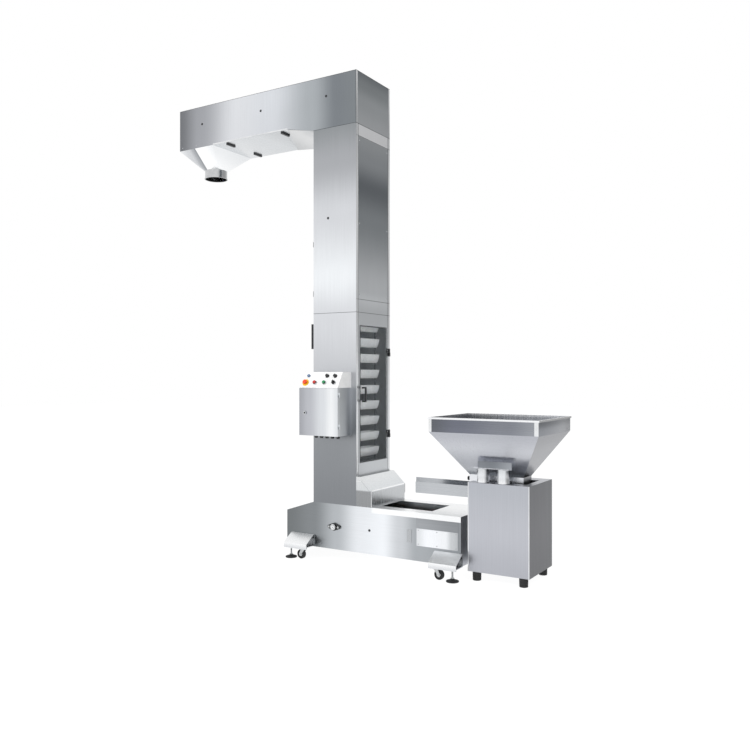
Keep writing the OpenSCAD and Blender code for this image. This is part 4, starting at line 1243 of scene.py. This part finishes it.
@dataclass
class RunningGear:
    """The levelling feet, and the hub caps and axle nuts of the casters."""

    foot_xs: tuple[float, float] = (-402.0, 1150.0)
    foot_y: float = 353.0
    caster_xs: tuple[float, float] = (-264.0, 1012.0)
    trail: float = 26.0
    axle_z: float = 42.0

    def build(self) -> None:
        """Builds the feet and the casters' caps."""
        self.feet()
        self.casters()

    def feet(self) -> None:
        """Black pads under bright threaded studs with their nuts."""
        pad = turned([(47, 0), (50, 2), (50, 9), (46, 12), (32, 17), (16, 19), (13, 26)], ORIGIN, UP, 32)
        thread: Outline = [(8, 24)]
        for i in range(22):
            z = 25 + i * 4.5
            thread += [(8.0, z), (7.0, z + 2.2)]
        stud = turned(thread + [(7.5, 134), (6, 136)], ORIGIN, UP, 12)
        washer = turned([(17, 29), (17, 31)], ORIGIN, UP, 20)
        nuts = [turned([(13, z), (14.4, z + 1.5), (14.4, z + 10.5), (13, z + 12)], ORIGIN, UP, 6)
                for z in (92, 110)]
        spots = [at(x, s * self.foot_y, 0) for x in self.foot_xs for s in (-1, 1)]
        piece = finished(placed(pad, spots), "foot_pads", BLACK_RUBBER)
        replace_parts(piece, "levelling_feet")
        finished(placed(joined([stud, washer] + nuts), spots), "foot_studs", ZINC)

    def casters(self) -> None:
        """Hub caps that turn with each wheel, and axle nuts on each fork."""
        nut = [(9, 18.8), (9, 23), (7.5, 24)]
        for side, x, way in (("left", self.caster_xs[0], -1), ("right", self.caster_xs[1], 1)):
            for depth, s in (("front", -1), ("back", 1)):
                corner, axle = f"{side}_{depth}", at(x + way * self.trail, s * self.foot_y, self.axle_z)
                caps = [ring(6.0, 17.0, 12.6, 14.8, axle, end, 24, 0.6) for end in (FRONT, BACK)]
                finished(joined(caps), f"hub_caps_{corner}", ZINC, f"wheel_{corner}")
                nuts = [turned(nut, axle, end, 6) for end in (FRONT, BACK)]
                finished(joined(nuts), f"axle_nuts_{corner}", ZINC, f"fork_{corner}")


@dataclass
class FeederTrim:
    """The hopper's corner folds, gate knob and brackets, the stand's painted edge highlights and its feet."""

    mouth_xs: tuple[float, float] = (956.0, 1844.0)
    mouth_ys: tuple[float, float] = (-372.0, 348.0)
    rim_z: float = 1257.0
    band_z: float = 1142.0
    stand_xs: tuple[float, float] = (1225.0, 1725.0)
    stand_ys: tuple[float, float] = (-238.0, 262.0)
    stand_zs: tuple[float, float] = (70.0, 757.0)
    mount_xs: tuple[float, float] = (1330.0, 1500.0)
    mount_ys: tuple[float, float] = (-196.0, 184.0)
    mount_top: float = 868.0

    def build(self) -> None:
        """Builds every piece of the feeder's trim."""
        self.band()
        self.corner_folds()
        self.gate()
        self.mounts()
        self.bracket_folds()
        self.mount_bolts()
        self.stand_edge_highlights()
        self.feet()

    def band(self) -> None:
        """The stiffening band round the hopper's mouth, a second sheet on its outside."""
        (x0, x1), (y0, y1), out = self.mouth_xs, self.mouth_ys, 0.9
        low, high = self.band_z + 1, self.rim_z - 14.5
        parts = [block((x0 - out, y, low), (x1 + out, y + side * out, high), 0.3)
                 for y, side in ((y0, -1), (y1, 1))]
        parts += [block((x, y0, low), (x + side * out, y1, high), 0.3) for x, side in ((x0, -1), (x1, 1))]
        finished(joined(parts), "hopper_band", HOPPER_BAND)

    def corner_folds(self) -> None:
        """Bright folded strips down the corners of the hopper's upright band."""
        low, high = self.band_z + 1, self.rim_z - 14.5
        parts = [block((x, y, low), (x + step, y + s * 1.8, high), 0.6)
                 for x, step in zip(self.mouth_xs, (24, -32)) for y, s in zip(self.mouth_ys, (-1, 1))]
        finished(joined(parts), "hopper_corner_folds", POLISHED)

    def gate(self) -> None:
        """The neck's slide gate with its black clamping knob."""
        slide = block((1171, -88, 722), (1175.5, 64, 798), 0.8)
        finished(slide, "gate_slide", TROUGH)
        knob = turned([(5, 0), (5, 8), (10, 9), (16, 12), (17, 17), (16, 22), (9, 26), (3, 26.6)],
                      at(1171.5, -66, 764), LEFT)
        finished(knob, "gate_knob", BLACK_NYLON)

    def mounts(self) -> None:
        """Rubber mounts in bright steel sleeves, under the brackets."""
        low, rise = self.stand_zs[1], self.mount_top - self.stand_zs[1]
        model = turned([(44, 0), (47, 3), (47, 10), (45, 13), (45, rise - 13), (47, rise - 10),
                        (47, rise - 3), (45, rise)], ORIGIN, UP, 40)
        spots = [at(x, y, low) for x in self.mount_xs for y in (self.mount_ys[0] + 6, self.mount_ys[1] - 6)]
        piece = finished(placed(model, spots), "mount_sleeves", SPRING_STEEL)
        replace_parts(piece, "spring_mounts")

    def bracket_folds(self) -> None:
        """The brackets' upright folds along the hopper's front and back."""
        (x0, x1), top = (self.mount_xs[0] - 22, self.mount_xs[1] + 84), self.mount_top
        parts = [block((x0, y - 3, top), (x1, y + 3, top + 58), 1.0)
                 for y in (self.mount_ys[0] - 37, self.mount_ys[1] + 37)]
        finished(joined(parts), "bracket_folds", BRACKET)

    def mount_bolts(self) -> None:
        """Hexagon bolts through the brackets over each mount."""
        spots = [at(x, y, self.mount_top + 6) for x in self.mount_xs for y in self.mount_ys]
        model = turned([(15, 0), (15, 2), (10, 2), (10, 8.5), (9, 9.5)], ORIGIN, UP, 6)
        finished(placed(model, spots), "mount_bolts", ZINC)

    def stand_edge_highlights(self) -> None:
        """Bright strips down the stand's front corners, a painted highlight of their folds."""
        y = self.stand_ys[0]
        parts = [block((x, y - 0.9, self.stand_zs[0] + 1), (x + 7, y, self.stand_zs[1] - 1), 0.4)
                 for x in (self.stand_xs[0] + 0.5, self.stand_xs[1] - 7.5)]
        finished(joined(parts), "stand_edge_highlights", POLISHED)

    def feet(self) -> None:
        """Ribbed rubber feet under the stand."""
        (x0, x1), (y0, y1) = self.stand_xs, self.stand_ys
        model = turned([(31, 0), (33, 3), (33, 14), (31.5, 16), (33.5, 18), (33.5, 34), (32, 36), (34, 38),
                        (34, 66), (32, 70)], ORIGIN, UP, 28)
        spots = [at(x, y, 0) for x in (x0 + 60, x1 - 60) for y in (y0 + 40, y1 - 40)]
        piece = finished(placed(model, spots), "stand_rubber_feet", BLACK_RUBBER)
        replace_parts(piece, "feeder_feet")


@dataclass
class Studio:
    """The white studio: its light, its pale floor and the camera of the photograph."""

    camera_at: tuple[float, float, float] = (3800.0, -5772.0, 1600.0)
    camera_turn_deg: float = 31.7
    lens_mm: float = 37.63
    sensor_mm: float = 36.0
    shift_up: float = -0.0027
    grey_side: tuple[float, float, float] = (0.8, 0.6, 0.0)

    def build(self) -> None:
        """Builds the studio."""
        self.camera()
        self.world()
        self.lamps()
        self.floor()
        bpy.context.scene.view_settings.view_transform = "Standard"

    def camera(self) -> None:
        """Sets the camera where the photograph was taken from."""
        data = bpy.data.cameras.new("camera")
        data.lens, data.sensor_width, data.sensor_fit = self.lens_mm, self.sensor_mm, "HORIZONTAL"
        data.shift_y = self.shift_up
        data.clip_end = 100.0
        camera = bpy.data.objects.new("camera", data)
        bpy.context.scene.collection.objects.link(camera)
        camera.location = at(*self.camera_at)
        camera.rotation_euler = (math.radians(90), 0, math.radians(self.camera_turn_deg))
        bpy.context.scene.camera = camera

    def world(self) -> None:
        """White to the eye and in reflections, greyer on one side, and plain even light elsewhere."""
        world = bpy.data.worlds.new("white_studio")
        bpy.context.scene.world = world
        world.use_nodes = True
        tree = world.node_tree
        tree.nodes.clear()
        path = add_node(tree, "LightPath").outputs
        coords = add_node(tree, "TexCoord")
        side = add_node(tree, "VectorMath", {"operation": "DOT_PRODUCT", 1: self.grey_side},
                        {0: coords.outputs["Generated"]})
        shade = add_node(tree, "MapRange", {
            "From Min": 0.35, "From Max": 0.95, "To Min": 1.0, "To Max": 0.5
        }, {"Value": side.outputs["Value"]})
        even = add_node(tree, "Background", {"Color": WHITE, "Strength": 0.62})
        mirrored = add_node(tree, "Background", {"Color": WHITE}, {"Strength": shade})
        white = add_node(tree, "Background", {"Color": WHITE, "Strength": 1.0})
        gloss = add_node(tree, "MixShader", links={"Fac": path["Is Glossy Ray"], 1: even, 2: mirrored})
        seen = add_node(tree, "Math", {"operation": "MAXIMUM"},
                        {0: path["Is Camera Ray"], 1: path["Is Transmission Ray"]})
        final = add_node(tree, "MixShader", links={"Fac": seen, 1: gloss, 2: white})
        add_node(tree, "OutputWorld", links={"Surface": final})

    def lamps(self) -> None:
        """Two broad soft lamps: the key from the front left, and a fill from the right."""
        target = at(200, 0, 1700)
        for name, spot, size, watts in (("key", (-2600, -5200, 5200), 3.2, 260.0),
                                        ("fill", (5200, -3200, 4200), 3.0, 90.0)):
            data = bpy.data.lights.new(name, "AREA")
            data.shape, data.size, data.energy = "SQUARE", size, watts
            lamp = bpy.data.objects.new(name, data)
            bpy.context.scene.collection.objects.link(lamp)
            lamp.visible_glossy = False
            lamp.location = at(*spot)
            lamp.rotation_euler = (target - lamp.location).to_track_quat("-Z", "Y").to_euler()

    def floor(self) -> None:
        """A pale floor that keeps a faint shadow."""
        deselect()
        bpy.ops.mesh.primitive_plane_add(size=60, location=(0, 0, -0.0005))
        settle()
        plane = bpy.context.object
        plane.name = "studio_floor"
        material = bpy.data.materials.new("pale_matt_floor")
        material.use_nodes = True
        tree = material.node_tree
        tree.nodes.clear()
        path = add_node(tree, "LightPath").outputs
        paper = add_node(tree, "BsdfDiffuse", {"Color": linear("#F4F4F4")})
        glow = add_node(tree, "Emission", {"Color": WHITE, "Strength": 1.12})
        either = add_node(tree, "Math", {"operation": "MAXIMUM"},
                          {0: path["Is Camera Ray"], 1: path["Is Glossy Ray"]})
        every = add_node(tree, "Math", {"operation": "MAXIMUM"}, {0: either, 1: path["Is Transmission Ray"]})
        share = add_node(tree, "Math", {"operation": "MULTIPLY", 1: 0.82}, {0: every})
        mix = add_node(tree, "MixShader", links={"Fac": share, 1: paper, 2: glow})
        add_node(tree, "OutputMaterial", links={"Surface": mix})
        plane.data.materials.append(material)


def main() -> None:
    """Builds the studio and dresses the machine, one sub-assembly after another."""
    logging.basicConfig(level=logging.INFO, format="%(message)s")
    Studio().build()
    dress_nodes()
    for part in (HousingTrim(), WindowFittings(), BucketRun(), ControlPanel(), BaseFittings(),
                 RunningGear(), FeederTrim()):
        part.build()


if __name__ == "__main__":
    main()
